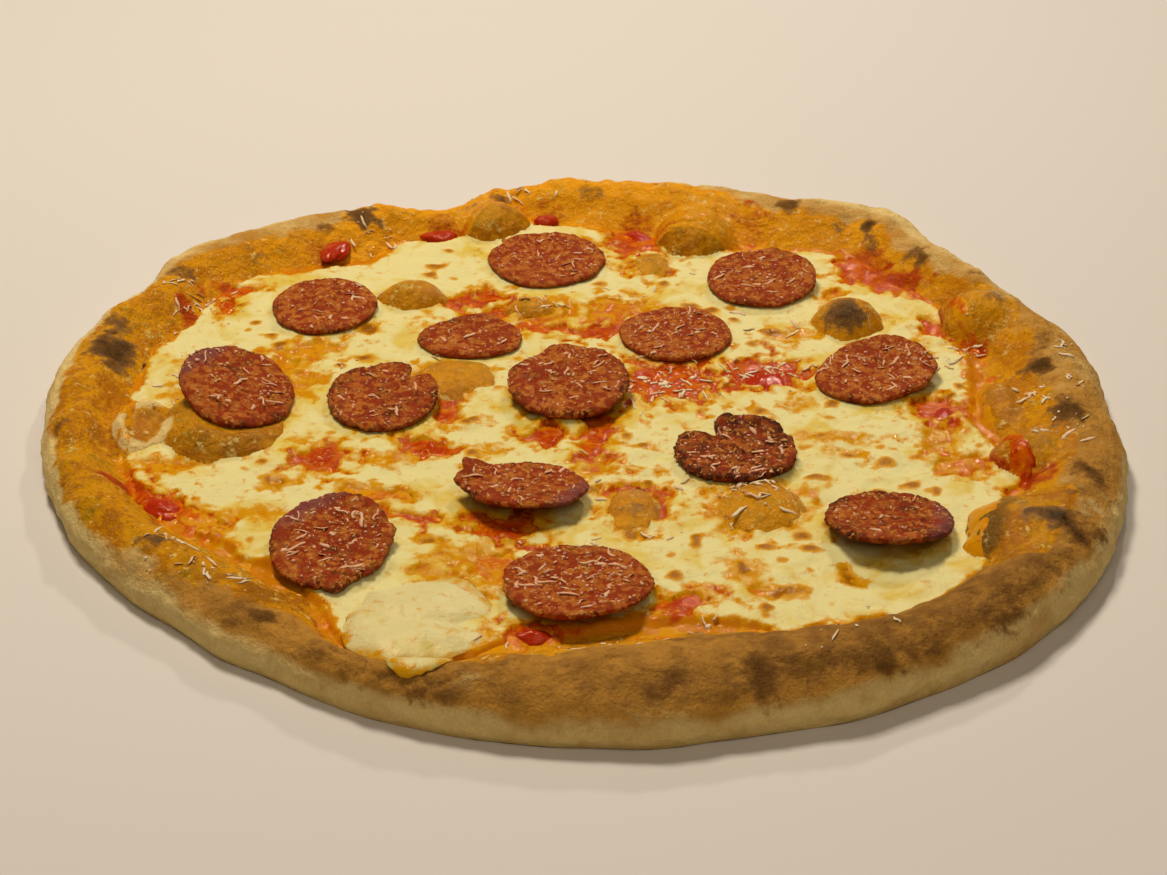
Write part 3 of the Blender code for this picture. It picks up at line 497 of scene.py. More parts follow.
class Dough:
    """The form of the dough, which everything else lies on."""

    STEPS = 720

    def __init__(self) -> None:
        """Tabulates the small lumps of the rim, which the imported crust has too."""
        self.angles = np.arange(self.STEPS + 1) * 360 / self.STEPS
        self.lumps = RIM_LUMP * walked(self.angles, OUTER_RADIUS / RIM_LUMP_LENGTH, 0.3)
        self.share, self.of_floor, self.of_rim = self._section()
        self.top_points = int(np.argmax(self.share > 0.97))

    @staticmethod
    def _section() -> tuple[Array, Array, Array]:
        """The rim's section as a dense smooth curve, evenly spaced along the dough.

        Returns:
            Share of the rim's width, and the shares of the floor's and the rim's height, at each point.
        """
        points, reach = 400, 22  # how many points, and how many on each side round a corner off
        share, of_floor, of_rim = columns = np.array(RIM_SECTION).T
        steps = np.hypot(np.diff(share * RIM_WIDTH), np.diff(of_floor * FLOOR + of_rim * RIM_HEIGHT))
        run = np.concatenate([[0], np.cumsum(steps)])
        dense = np.linspace(0, run[-1], points)
        weight = np.hanning(2 * reach + 1)
        weight /= weight.sum()
        smooth = []
        for column in (np.interp(dense, run, column) for column in columns):
            before = 2 * column[0] - column[reach:0:-1]
            after = 2 * column[-1] - column[-2 : -reach - 2 : -1]
            smooth.append(np.convolve(np.concatenate([before, column, after]), weight, "valid"))
        return tuple(smooth)

    def outer_radius(self, angle: Array) -> Array:
        """Radius of the outline."""
        return OUTER_RADIUS + swell(OUTER_SWELLS, angle)

    def foot_radius(self, angle: Array) -> Array:
        """Radius at which the floor ends and the rim's slope starts."""
        return self.outer_radius(angle) - RIM_WIDTH - swell(RIM_WIDTH_SWELLS, angle)

    def lump(self, angle: Array) -> Array:
        """The rim's small unevenness."""
        return np.interp(angle % 360, self.angles, self.lumps)

    def rim_height(self, angle: Array) -> Array:
        """Height of the rim's crest."""
        return RIM_HEIGHT + swell(RIM_HEIGHT_SWELLS, angle) + self.lump(angle)

    def polar(self, x: Array, y: Array) -> tuple[Array, Array]:
        """Angle of each place, and its share of the rim's width, below 0 on the floor."""
        angle = np.degrees(np.arctan2(y, x)) % 360
        foot = self.foot_radius(angle)
        return angle, (np.hypot(x, y) - foot) / (self.outer_radius(angle) + self.lump(angle) - foot)

    def bubbles(self, x: Array, y: Array, bubbles: Marks = BUBBLES) -> Array:
        """Height of the dough bubbles, or 0 where there are none."""
        height = np.zeros(len(x))
        for middle_x, middle_y, half_width, half_depth, top in bubbles:
            side_x, side_y = (x - middle_x) / half_width, (y - middle_y) / half_depth
            near = np.hypot(side_x, side_y) < 1.4
            uneven = 1 + BUBBLE_UNEVEN * ROLL.smooth(x[near], y[near], 11.0, 2)
            away = np.hypot(side_x[near], side_y[near]) * uneven
            radius = (top - FLOOR) / (1 - BUBBLE_DOWN)
            inside = np.sqrt(np.clip(1 - (1 - BUBBLE_DOWN**2) * away**2, 0, None))
            dome = FLOOR + radius * (inside - BUBBLE_DOWN)
            height[near] = np.where(away < 1.15, np.maximum(height[near], dome), height[near])
        return height

    def swirl(self, x: Array, y: Array) -> tuple[Array, Array]:
        """How strongly the fold round the burst bubble, open at the back right, and its pit show."""
        side_x, side_y = x - SWIRL[0], (y - SWIRL[1]) * SWIRL_DEPTH
        away = np.hypot(side_x, side_y)
        turn = np.degrees(np.arctan2(side_y, side_x)) % 360
        kept = 1 - 0.8 * ease(50, 5, np.abs((turn - 35 + 180) % 360 - 180))
        spiral = SWIRL_RADIUS * (1 - 0.16 * np.cos(np.radians(turn - 60)))
        fold = np.exp(-(((away - spiral + 0.7 * ROLL.smooth(x, y, 6.0, 2)) / SWIRL_FOLD) ** 2))
        return fold * kept, np.exp(-((away / 4.0) ** 2))

    def top(self, x: Array, y: Array) -> Array:
        """Height of the dough's top at each place.

        Args:
            x: Places in millimetres.
            y: Places in millimetres.

        Returns:
            The height with the rim, its bubbles and the fold, before the skin's fine relief.
        """
        angle, share = self.polar(x, y)
        upper = slice(0, self.top_points)
        part = np.clip(share, 0, self.share[self.top_points - 1])
        floor_part = np.interp(part, self.share[upper], self.of_floor[upper])
        rim_part = np.interp(part, self.share[upper], self.of_rim[upper])
        height = floor_part * FLOOR + rim_part * self.rim_height(angle)
        domes = self.bubbles(x, y)
        raised = np.where(domes > 0, blend_up(height, domes, BUBBLE_FILLET), height)
        fold, pit = self.swirl(x, y)
        return raised + SWIRL_HEIGHT * (fold - SWIRL_PIT * pit)

    def skin(self, x: Array, y: Array) -> Array:
        """Fine relief of the baked skin: soft lumps and dents, small bubbles and a crumpled grain."""
        lumps = SKIN_LUMP * ROLL.smooth(x, y, 14.0, 3)
        dents = -SKIN_DENT * ease(0.2, 0.7, WARP.smooth(x, y, 17.0, 2))
        away, number = GRAIN.cells(x, y, SMALL_BUBBLE)
        small = np.where(number > SMALL_BUBBLE_FREE, SMALL_BUBBLE_HEIGHT * (1 - ease(0.15, 0.55, away)), 0)
        return lumps + dents + small + SKIN_GRAIN * WARP.smooth(x, y, 2.2, 2)

    def crease(self, x: Array, y: Array) -> Array:
        """1 along the thin winding creases of the rim's outer half, else 0."""
        line = np.abs(WARP.smooth(x + 40, y, 30.0, 2))
        kept = ease(-0.1, 0.25, ROLL.smooth(x, y, 33.0, 1))
        return ease(0.09, 0.0, line) * kept * ease(0.45, 0.62, self.polar(x, y)[1])


DOUGH = Dough()


class SliceSurface:
    """Works out the surface of one slice."""

    def __init__(self, form: SliceForm) -> None:
        """Tabulates the ragged outline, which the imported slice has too.

        Args:
            form: The slice's sizes.
        """
        self.form = form
        ragged = []
        for angle in DEGREES:
            turn = math.radians(angle)
            spot = Vector((math.cos(turn), math.sin(turn), 0)) * 2.2 + Vector((form.x, form.y, 0))
            ragged.append(noise.noise(spot))
        self.reach = 1 + swell(form.outline, DEGREES) + SLICE_UNEVEN * np.array(ragged)

    def point(self, share: Array, angle: Array, height: Array) -> Array:
        """Places on the slice.

        Args:
            share: Share of the radius.
            angle: Angle on the slice before its turn.
            height: Height above the underside.

        Returns:
            An array of places in millimetres.
        """
        form = self.form
        teeth = 0.012 * GRAIN.smooth(angle / 3.2 + form.x * 7, share * 0 + form.y, 1.0, 2)
        reach = share * (np.interp(angle % 360, DEGREES, self.reach) + teeth * (1 + 2 * form.dark))
        cos, sin = heading(angle)
        x, y = form.across * reach * cos, form.deep * reach * sin
        x, y = rotated(x, y, form.turn)
        z = self.underside(x, y, angle, share) + height
        return np.stack([form.x + x, form.y + y, z], axis=-1)

    def underside(self, x: Array, y: Array, angle: Array, share: Array) -> Array:
        """Height of the underside.

        Args:
            x: Places in millimetres, counted from the slice's middle.
            y: Places in millimetres, counted from the slice's middle.
            angle: Angle on the slice before its turn.
            share: Share of the radius.

        Returns:
            One height for each place.
        """
        form = self.form
        cos, sin = heading(form.towards)
        lean = form.lean * (x * cos + y * sin) / form.across
        return form.base + lean + swell(form.curls, angle) * share**3 + SLICE_CUP * share**2

    def inside(self, x: Array, y: Array) -> tuple[Array, Array]:
        """How far out each place lies on the slice, 1 at its edge, and the underside's height there."""
        form = self.form
        side_x, side_y = x - form.x, y - form.y
        level_x, level_y = rotated(side_x, side_y, -form.turn)
        angle = np.degrees(np.arctan2(level_y / form.deep, level_x / form.across)) % 360
        reach = np.interp(angle, DEGREES, self.reach)
        share = np.hypot(level_x / form.across, level_y / form.deep) / reach
        return share, self.underside(side_x, side_y, angle, np.clip(share, 0, 1.1))


SLICE_SURFACES = tuple(SliceSurface(form) for form in SLICES)


class Topping:
    """Heights and cover of the sauce and the melted cheese over the dough."""

    def windows(self, x: Array, y: Array, wider: float = 1.0, soft: float = 0.5) -> Array:
        """How thin the cheese is at each place, from 0 to 1 where it is missing."""
        return marked(x, y, widened(SAUCE_WINDOWS, wider), 0.6, soft)

    def sauce(self, x: Array, y: Array) -> Array:
        """Height of the sauce's wet top, which wells up where the cheese is missing."""
        dough = DOUGH.top(x, y)
        _, share = DOUGH.polar(x, y)
        pulp = 0.45 * ROLL.smooth(x, y, 5.0, 3) + 0.3 * np.abs(WARP.smooth(x, y, 2.6, 2))
        welled = (CHEESE_TOP - 1.0 - SAUCE_LEVEL) * ease(0.4, 0.85, self.windows(x, y))
        level = SAUCE_LEVEL + welled + pulp
        level = np.maximum(level, dough + 0.2 + 0.6 * pulp)
        kept = np.where(share < 0.0, ease(FLOOR + 3.2, FLOOR + 1.8, dough), ease(0.20, 0.12, share))
        return dough - 0.6 + (level - dough + 0.6) * kept

    def cover(self, x: Array, y: Array) -> Array:
        """Share of the cheese's full thickness at each place, from 0 to 1."""
        angle, share = DOUGH.polar(x, y)
        wander = CREAM_WANDER * (WARP.smooth(x, y, 17.0, 2) + 0.4 * WARP.smooth(x, y, 4.0, 2))
        edge = along(CREAM_REACH, angle) + wander
        return ease(edge + 0.05, edge - 0.07, share) * (1 - self.windows(x, y, 1.12, 0.7))

    def lumps(self, x: Array, y: Array) -> Array:
        """Relief of the melted cheese."""
        wave = CHEESE_WAVE * ROLL.smooth(x, y, CHEESE_WAVE_LENGTH)
        return wave + 0.6 * ROLL.smooth(x, y, 9.0, 2) + 0.1 * WARP.smooth(x, y, 2.4, 2)

    def under_slices(self, x: Array, y: Array, height: Array, spare: float) -> Array:
        """Lowers a surface so that it passes just under the slices and rises gently beyond them."""
        for surface in SLICE_SURFACES:
            share, under = surface.inside(x, y)
            beyond = PRESS_RISE * np.clip(share - 1, 0, 0.5)
            pressed = np.minimum(height, under - spare + beyond)
            height = height + (pressed - height) * ease(*PRESS_REACH, share)
        return height

    def against_slices(self, x: Array, y: Array, height: Array) -> Array:
        """Draws a surface up to the slices' undersides, where they are near enough to touch."""
        for surface in SLICE_SURFACES:
            share, under = surface.inside(x, y)
            gap = under - TOUCH_SPARE - height
            touched = np.clip(gap, 0, TOUCH_GAP) * ease(1.18, 1.0, share)
            height = height + touched * ease(2 * TOUCH_GAP, TOUCH_GAP, gap)
        return height

    def cheese(self, x: Array, y: Array) -> tuple[Array, Array]:
        """Height of the cheese, and its cover."""
        dough = DOUGH.top(x, y)
        spots = marked(x, y, SPOT_MARKS, 0.3, 0.3)
        level = CHEESE_TOP + self.lumps(x, y) + 0.3 * spots - 1.5 * ease(0.35, 0.95, self.windows(x, y))
        _, share = DOUGH.polar(x, y)
        cover = self.cover(x, y)
        bare = 1.8 * ease(0.45, 0.0, cover) * ease(-0.02, 0.06, share) + 1.3 * ease(0.2, 1.4, dough - level)
        height = blend_up(level, dough, 1.5) - 0.28 - bare
        return self.under_slices(x, y, self.against_slices(x, y, height), CHEESE_SPARE), cover

    def surface(self, x: Array, y: Array) -> Array:
        """Height of whatever lies on top, slices included."""
        cheese, _ = self.cheese(x, y)
        height = np.maximum(np.maximum(cheese, self.sauce(x, y)), DOUGH.top(x, y) + DOUGH.skin(x, y))
        for surface in SLICE_SURFACES:
            share, under = surface.inside(x, y)
            height = np.where(share < 1, np.maximum(height, under + SLICE_THICKNESS), height)
        return height


TOPPING = Topping()

def colour(code: str) -> tuple[float, float, float, float]:
    """Turns an sRGB hex code into a linear colour.

    Args:
        code: Six hex digits after a hash.

    Returns:
        Red, green, blue and alpha.
    """
    shares = [int(code[place : place + 2], 16) / 255 for place in (1, 3, 5)]
    linear = [share / 12.92 if share <= 0.04045 else ((share + 0.055) / 1.055) ** 2.4 for share in shares]
    return (*linear, 1.0)


@dataclass(frozen=True)
class Finish:
    """What every finish shares: its name, and how the light meets it."""

    name: str = "finish"
    roughness: float = 0.5
    ior: float = 1.45
    gloss: float = 0.35
    glint: str = "#ffdcae"

    def material(self) -> bpy.types.Material:
        """Builds the material, in each finish its own way."""
        raise NotImplementedError


class Recipe:
    """The node tree of one finish, with the few steps that every finish is mixed from."""

    def __init__(self, finish: Finish) -> None:
        """Makes the material with its place in millimetres.

        Args:
            finish: The finish that gives the name and how the light meets it.
        """
        self.material = bpy.data.materials.new(finish.name)
        self.material.use_nodes = True
        self.tree = self.material.node_tree
        self.shader = self.tree.nodes["Principled BSDF"]
        self.give("Roughness", finish.roughness)
        self.give("IOR", finish.ior)
        self.give("Specular IOR Level", finish.gloss)
        self.give("Specular Tint", finish.glint)
        place = self.add("ShaderNodeTexCoord", "Object", {})
        self.place = self.add("ShaderNodeMapping", 0, {"Vector": place, "Scale": (1 / MM, 1 / MM, 1 / MM)})

    def fill(self, socket: Socket, value: object) -> None:
        """Links a socket to an output, or sets it to a plain value or to the colour of a hex code."""
        if isinstance(value, Socket):
            self.tree.links.new(value, socket)
        else:
            socket.default_value = colour(value) if isinstance(value, str) else value

    def give(self, name: str, value: object) -> None:
        """Fills one of the shader's inputs."""
        self.fill(self.shader.inputs[name], value)

    def add(self, kind: str, out: int | str, links: dict[int | str, object], **settings: object) -> Socket:
        """Adds a node with its settings and links.

        Args:
            kind: Type of the node.
            out: Name or number of the output that is wanted.
            links: Sockets, plain values or hex codes for its inputs.
            **settings: The node's own settings.

        Returns:
            The output socket.
        """
        made = self.tree.nodes.new(kind)
        for name, value in settings.items():
            setattr(made, name, value)
        for socket, value in links.items():
            self.fill(made.inputs[socket], value)
        return made.outputs[out]

    def mark(self, name: str) -> Socket:
        """The value that each vertex carries under a name."""
        return self.add("ShaderNodeAttribute", "Fac", {}, attribute_name=name)

    def noise(self, size: float, detail: float, rough: float = 0.5, bent: float = 0.0) -> Socket:
        """Noise round 0.5.

        Args:
            size: Size of its lumps in millimetres.
            detail: Number of finer layers.
            rough: How strong the finer layers are.
            bent: How much it is distorted.

        Returns:
            The socket with values from about 0.2 to 0.8.
        """
        links = {"Vector": self.place, "Scale": 1 / size, "Detail": detail}
        return self.add("ShaderNodeTexNoise", 0, links | {"Roughness": rough, "Distortion": bent})

    def centred(self, value: Socket) -> Socket:
        """Noise moved down to lie round 0."""
        return self.add("ShaderNodeMath", 0, {0: value, 1: 0.5}, operation="SUBTRACT")

    def cells(self, size: float) -> Socket:
        """Cells that touch each other, each with a random colour."""
        links = {"Vector": self.place, "Scale": 1 / size, "Randomness": 1.0}
        return self.add("ShaderNodeTexVoronoi", "Color", links)

    def channel(self, value: Socket, number: int) -> Socket:
        """One of a colour's three channels."""
        return self.add("ShaderNodeSeparateColor", number, {0: value})

    def scaled(self, value: Socket, factor: object) -> Socket:
        """A value times a factor."""
        return self.add("ShaderNodeMath", 0, {0: value, 1: factor}, operation="MULTIPLY")

    def total(self, start: object, *parts: tuple[Socket, float]) -> Socket:
        """A start value plus other values, each times its own factor."""
        for value, factor in parts:
            start = self.add("ShaderNodeMath", 0, {0: value, 1: factor, 2: start}, operation="MULTIPLY_ADD")
        return start

    def step(self, value: Socket, low: float, high: float) -> Socket:
        """Smooth step of a value from 0 at low to 1 at high."""
        links = {0: value, 1: low, 2: high, 3: 0.0, 4: 1.0}
        return self.add("ShaderNodeMapRange", 0, links, interpolation_type="SMOOTHSTEP")

    def slid(self, share: Socket, first: float, second: float) -> Socket:
        """A value between two others."""
        return self.add("ShaderNodeMapRange", 0, {0: share, 1: 0.0, 2: 1.0, 3: first, 4: second})

    def mixed(self, share: object, first: object, second: object, way: str = "MIX") -> Socket:
        """Colour between two others."""
        links = {0: share, 6: first, 7: second}
        return self.add("ShaderNodeMix", 2, links, data_type="RGBA", blend_type=way)

    def over(
        self, under: object, upper: object, value: Socket, low: float, high: float, most: float = 1
    ) -> Socket:
        """Lays one colour over another.

        Args:
            under: The lower colour.
            upper: The upper colour.
            value: Says where the upper colour lies.
            low: Where value reaches this, the upper colour starts to show.
            high: Where value reaches this, it covers as much as it ever does.
            most: The share that it covers there.

        Returns:
            The socket with the new colour.
        """
        share = self.step(value, low, high)
        return self.mixed(share if most == 1 else self.scaled(share, most), under, upper)

    def bumped(self, height: Socket, strength: float, metres: float) -> None:
        """Gives the shader a fine relief."""
        links = {"Height": height, "Strength": strength, "Distance": metres}
        self.give("Normal", self.add("ShaderNodeBump", 0, links))

    def softened(self, share: float, metres: float, colours: tuple[float, ...] = (1.0, 0.2, 0.1)) -> None:
        """Lets a share of the light sink in, and says how far red, green and blue get."""
        self.give("Subsurface Weight", share)
        self.give("Subsurface Scale", metres)
        self.give("Subsurface Radius", colours)


@dataclass(frozen=True)
class BakedDough(Finish):
    """Wheat dough from a very hot oven: matt cream skin that browns, chars in spots and drinks oil."""

    name: str = "baked_wheat_dough"
    roughness: float = 0.72
    gloss: float = 0.1
    glint: str = "#ffc878"
    cream: str = "#e8cd86"
    tan: str = "#be8a3a"
    brown: str = "#80592a"
    gold: str = "#d29208"
    amber: str = "#b06c06"
    olive: str = "#9a7608"
    fleck: str = "#ecd27a"
    # Painted light: a bright gold laid on the rim's oil where it gets too little light.
    painted_glow: str = "#f4a814"
    # Dark murky oil, partly painted shade.
    murk_and_shade: str = "#744f06"
    orange: str = "#be5a06"
    red: str = "#a83806"
    char: str = "#1e150c"

    def material(self) -> bpy.types.Material:
        """Builds the material from the dough's vertex marks.

        Returns:
            The finished material.
        """
        mix = Recipe(self)
        bake, oiled, stain = mix.mark("bake"), mix.mark("oil"), mix.mark("stain")
        char, flour, painted_glow = mix.mark("char"), mix.mark("flour"), mix.mark("painted_glow")
        broad = mix.centred(mix.noise(16, 4.0))
        mottle = mix.centred(mix.noise(5, 6.0, 0.6))
        small = mix.centred(mix.noise(2.2, 5.0, 0.6))
        fine = mix.centred(mix.noise(0.9, 4.0, 0.65))
        baking = mix.total(bake, (mottle, 0.6), (broad, 0.8))
        skin = mix.over(self.cream, self.tan, baking, 0.05, 0.80)
        skin = mix.over(skin, self.brown, mix.total(baking, (mottle, 0.4), (small, 0.5)), 0.70, 1.55)
        freckled = mix.total(mix.scaled(baking, 0.12), (fine, 0.5), (small, 1.0))
        skin = mix.over(skin, self.brown, freckled, 0.18, 0.28, most=0.35)
        skin = mix.over(skin, self.cream, mix.total(flour, (small, 0.6), (mottle, 1.2)), 0.25, 1.0)
        oil = mix.over(self.gold, self.amber, mix.total(broad, (mottle, 0.6), (small, 0.9)), -0.12, 0.16)
        domed = mix.step(oiled, 1.0, 1.5)
        murk = mix.total(mottle, (broad, -0.8), (fine, 0.5), (domed, 0.05))
        oil = mix.over(oil, self.olive, murk, 0.04, 0.34)
        # Painted light and shade on the oil: brighter gold where the glow mark is above 0, dark murky oil,
        # partly painted shade, where it is below 0.
        oil = mix.over(oil, self.painted_glow, painted_glow, 0.0, 1.0, most=0.8)
        oil = mix.over(oil, self.murk_and_shade, painted_glow, 0.0, -1.0)
        oil = mix.over(oil, self.fleck, mix.total(mottle, (fine, 0.4), (small, -1.0)), 0.12, 0.28, most=0.7)
        skin = mix.over(skin, oil, mix.total(oiled, (small, 0.5), (mottle, 1.1)), 0.15, 0.85)
        stained = mix.total(stain, (small, 0.9), (mottle, 1.1))
        skin = mix.over(skin, self.orange, stained, 0.25, 0.90)
        skin = mix.over(skin, self.red, stained, 0.62, 1.05)
        # The char mark also carries painted shade in the rim's creases.
        burnt = mix.total(char, (small, 0.8), (mottle, 0.7))
        skin = mix.over(skin, self.brown, burnt, 0.14, 0.60)
        skin = mix.over(skin, self.char, burnt, 0.45, 1.25)
        speckled = mix.total(0.5, (small, 0.5), (fine, 1.1))
        mix.give("Base Color", mix.mixed(0.28, skin, speckled, "OVERLAY"))
        wet = mix.step(mix.total(oiled, (small, 1.6)), 0.95, 1.15)
        sooty = mix.step(burnt, 0.2, 0.8)
        mix.give("Specular IOR Level", mix.slid(wet, self.gloss, 0.5))
        mix.give("Roughness", mix.total(mix.slid(wet, self.roughness, 0.16), (sooty, 0.4)))
        mix.bumped(mix.total(mix.scaled(fine, 0.5), (small, 1.1), (mottle, 1.5)), 0.9, 0.001)
        mix.softened(0.05, 0.0015, (1.0, 0.5, 0.25))
        return mix.material


@dataclass(frozen=True)
class CookedSauce(Finish):
    """Crushed tomato cooked under oil: wet and glossy, red where thick and gold where thin."""

    name: str = "cooked_tomato_sauce"
    roughness: float = 0.1
    gloss: float = 0.24
    glint: str = "#ffbe80"
    gold: str = "#d8940c"
    orange: str = "#cc5f05"
    red: str = "#b03203"
    deep: str = "#7c1c03"
    strand: str = "#dda548"
    burnt: str = "#3a2012"

    def material(self) -> bpy.types.Material:
        """Builds the material; the attribute red says how much tomato there is.

        Returns:
            The finished material.
        """
        mix = Recipe(self)
        pulp = mix.noise(5, 6.0, bent=1.0)
        fine = mix.noise(1.3, 4.0, bent=0.5)
        lumpy = mix.centred(pulp)
        amount = mix.total(mix.mark("red"), (lumpy, 2.4), (mix.centred(fine), 0.8))
        wet = mix.over(self.gold, self.orange, amount, 0.10, 0.50)
        wet = mix.over(wet, self.red, amount, 0.50, 0.95)
        wet = mix.over(wet, self.deep, amount, 1.05, 1.5)
        wet = mix.over(wet, self.strand, mix.total(fine, (lumpy, 1.0)), 0.62, 0.74, most=0.6)
        wet = mix.over(wet, self.burnt, mix.total(mix.mark("char"), (fine, 0.6)), 0.6, 1.2)
        mix.give("Base Color", wet)
        mix.bumped(mix.total(0.0, (fine, 0.3), (pulp, 1.4)), 0.5, 0.001)
        return mix.material


@dataclass(frozen=True)
class MeltedMozzarella(Finish):
    """Low-moisture mozzarella melted and oiled off: cream, gold where thin, with browned blisters."""

    name: str = "melted_mozzarella"
    roughness: float = 0.5
    gloss: float = 0.25
    glint: str = "#ffda98"
    cream: str = "#e2da98"
    butter: str = "#dac052"
    gold: str = "#d4980a"
    olive: str = "#ac880c"
    amber: str = "#cc7e08"
    red: str = "#b84405"
    brown: str = "#9a5c0c"

    def material(self) -> bpy.types.Material:
        """Builds the material from the cheese's vertex marks.

        Returns:
            The finished material.
        """
        mix = Recipe(self)
        oil = mix.mark("oil")
        mottle = mix.noise(3.4, 5.0, bent=0.4)
        fine = mix.noise(0.8, 3.0)
        rolled = mix.centred(mix.noise(11, 4.0, bent=0.6))
        uneven, grainy = mix.centred(mottle), mix.centred(fine)
        curd = mix.over(self.cream, self.butter, mix.total(oil, (rolled, 2.4)), 0.0, 0.70)
        pool = mix.over(self.gold, self.olive, mottle, 0.50, 0.70)
        pooled = mix.total(oil, (rolled, 1.2), (uneven, 1.1))
        curd = mix.over(curd, pool, pooled, 0.46, 0.92)
        thin = mix.total(mix.mark("cover"), (uneven, -1.5), (grainy, 0.5))
        curd = mix.over(curd, self.gold, thin, 0.92, 0.48)
        under = mix.over(self.amber, self.red, mix.total(mix.mark("red"), (uneven, 1.8)), 0.20, 0.85)
        curd = mix.over(curd, under, thin, 0.50, 0.10)
        toasted = mix.total(mix.mark("spot"), (grainy, 0.2), (uneven, 0.5))
        curd = mix.over(curd, self.gold, toasted, 0.18, 0.62)
        curd = mix.over(curd, self.brown, toasted, 0.55, 1.10)
        mix.give("Base Color", curd)
        pools_or_thin = {0: mix.step(pooled, 0.44, 0.70), 1: mix.step(thin, 0.7, 0.4)}
        wet = mix.add("ShaderNodeMath", 0, pools_or_thin, operation="MAXIMUM")
        mix.give("Roughness", mix.slid(wet, self.roughness, 0.12))
        mix.give("Specular IOR Level", mix.slid(wet, self.gloss, 0.2))
        mix.bumped(mix.total(0.0, (fine, 0.35), (mottle, 1.0)), 0.7, 0.0006)
        mix.softened(0.2, 0.0025, (1.0, 0.8, 0.4))
        return mix.material


@dataclass(frozen=True)
class CuredSausage(Finish):
    """Coarse cured pork sausage crisped in its own fat: brick red lean, pale fat grains, oily glints."""

    name: str = "cured_pepperoni"
    roughness: float = 0.6
    gloss: float = 0.25
    glint: str = "#ffd8b0"
    lean: str = "#9c3407"
    brick: str = "#c26c22"
    dark: str = "#451103"
    fat: str = "#d48a34"
    # Painted reflection: the purple sheen on one side of some slices.
    painted_sheen: str = "#80464a"

    def material(self) -> bpy.types.Material:
        """Builds the material; its marks say where each place is dark, from crisping and from painted shade
        underneath, where a purple reflection is painted on and where fat grains show.

        Returns:
            The finished material.
        """
        mix = Recipe(self)
        coarse = mix.cells(1.7)
        cell, second = mix.channel(coarse, 0), mix.channel(coarse, 1)
        uneven = mix.centred(mix.noise(3.5, 5.0))
        fine = mix.noise(0.6, 4.0, 0.7)
        meat = mix.over(self.lean, self.brick, mix.total(cell, (uneven, 1.6)), 0.25, 0.9)
        # The dark mark carries the crisped edges and painted shade on the underside and low on the side.
        crisp_and_shade = mix.total(mix.mark("dark"), (second, 0.35), (uneven, 1.2))
        meat = mix.over(meat, self.dark, crisp_and_shade, 0.40, 1.05)
        # Painted reflection: the purple sheen laid over the meat.
        meat = mix.over(meat, self.painted_sheen, mix.total(mix.mark("painted_sheen"), (uneven, 0.8)), 0.3, 0.9)
        speck = mix.channel(mix.cells(0.8), 0)
        grains = mix.step(mix.total(uneven, (speck, 0.7), (fine, 0.6)), 0.88, 1.05)
        mix.give("Base Color", mix.mixed(mix.scaled(grains, mix.mark("grain")), meat, self.fat))
        beads = mix.step(fine, 0.54, 0.62)
        mix.give("Specular IOR Level", mix.slid(beads, self.gloss, 1.0))
        mix.give("Roughness", mix.slid(beads, self.roughness, 0.1))
        mix.bumped(mix.total(0.0, (cell, 0.5), (fine, 1.0)), 0.9, 0.0008)
        return mix.material


@dataclass(frozen=True)
class CookedTomato(Finish):
    """Chopped tomato, cooked and wet: clear red flesh with a smooth gloss."""

    name: str = "cooked_tomato"
    roughness: float = 0.14
    gloss: float = 0.3
    glint: str = "#ffd0a0"
    flesh: str = "#b02a08"
    pink: str = "#b8482a"

    def material(self) -> bpy.types.Material:
        """Builds the material.

        Returns:
            The finished material.
        """
        mix = Recipe(self)
        fibre = mix.noise(3, 4.0, bent=1.0)
        mix.give("Base Color", mix.over(self.flesh, self.pink, fibre, 0.45, 0.75))
        mix.bumped(fibre, 0.7, 0.0006)
        mix.softened(0.1, 0.002)
        return mix.material


@dataclass(frozen=True)
class GratedHardCheese(Finish):
    """Hard cheese off a fine grater: thin ivory strips, dry on the crust and soft on hot meat."""

    name: str = "grated_hard_cheese"
    roughness: float = 0.5
    ivory: str = "#eadab4"
    warm: str = "#e2b08a"

    def material(self) -> bpy.types.Material:
        """Builds the material.

        Returns:
            The finished material.
        """
        mix = Recipe(self)
        sweated = mix.total(mix.scaled(mix.mark("warm"), 0.35), (mix.noise(6, 3.0), 1.0))
        mix.give("Base Color", mix.over(self.ivory, self.warm, sweated, 0.4, 0.85))
        mix.bumped(mix.noise(0.5, 3.0), 0.4, 0.0003)
        mix.softened(0.1, 0.001)
        return mix.material


@dataclass(frozen=True)
class StudioFloor(Finish):
    """Matt painted board: pale and even."""

    name: str = "matt_board"
    roughness: float = 0.8
    paint: str = "#d9d6d0"

    def material(self) -> bpy.types.Material:
        """Builds the material.

        Returns:
            The finished material.
        """
        mix = Recipe(self)
        mix.give("Base Color", self.paint)
        return mix.material


def turned(rings: int, spokes: int) -> Body:
    """A flat disc whose rings are one unit apart, from its middle out, ready to be shaped.

    Args:
        rings: Number of rings, the middle included.
        spokes: Number of steps round it.

    Returns:
        The open disc.
    """
    body = bmesh.new()
    verts = [body.verts.new((ring, 0, 0)) for ring in range(rings)]
    edges = [body.edges.new(pair) for pair in zip(verts, verts[1:])]
    once_round = {"cent": (0, 0, 0), "axis": (0, 0, 1), "angle": 2 * math.pi, "use_merge": True}
    bmesh.ops.spin(body, geom=verts + edges, steps=spokes, **once_round)
    bmesh.ops.remove_doubles(body, verts=body.verts[:], dist=0.001)
    return body


def flat_places(body: Body) -> tuple[Array, Array]:
    """The x and the y of each vertex."""
    return tuple(np.array([vert.co[:2] for vert in body.verts]).T)


def ring_and_angle(body: Body) -> tuple[Array, Array]:
    """Number of each vertex's ring and its angle on a flat disc."""
    x, y = flat_places(body)
    return np.rint(np.hypot(x, y)).astype(int), np.degrees(np.arctan2(y, x)) % 360


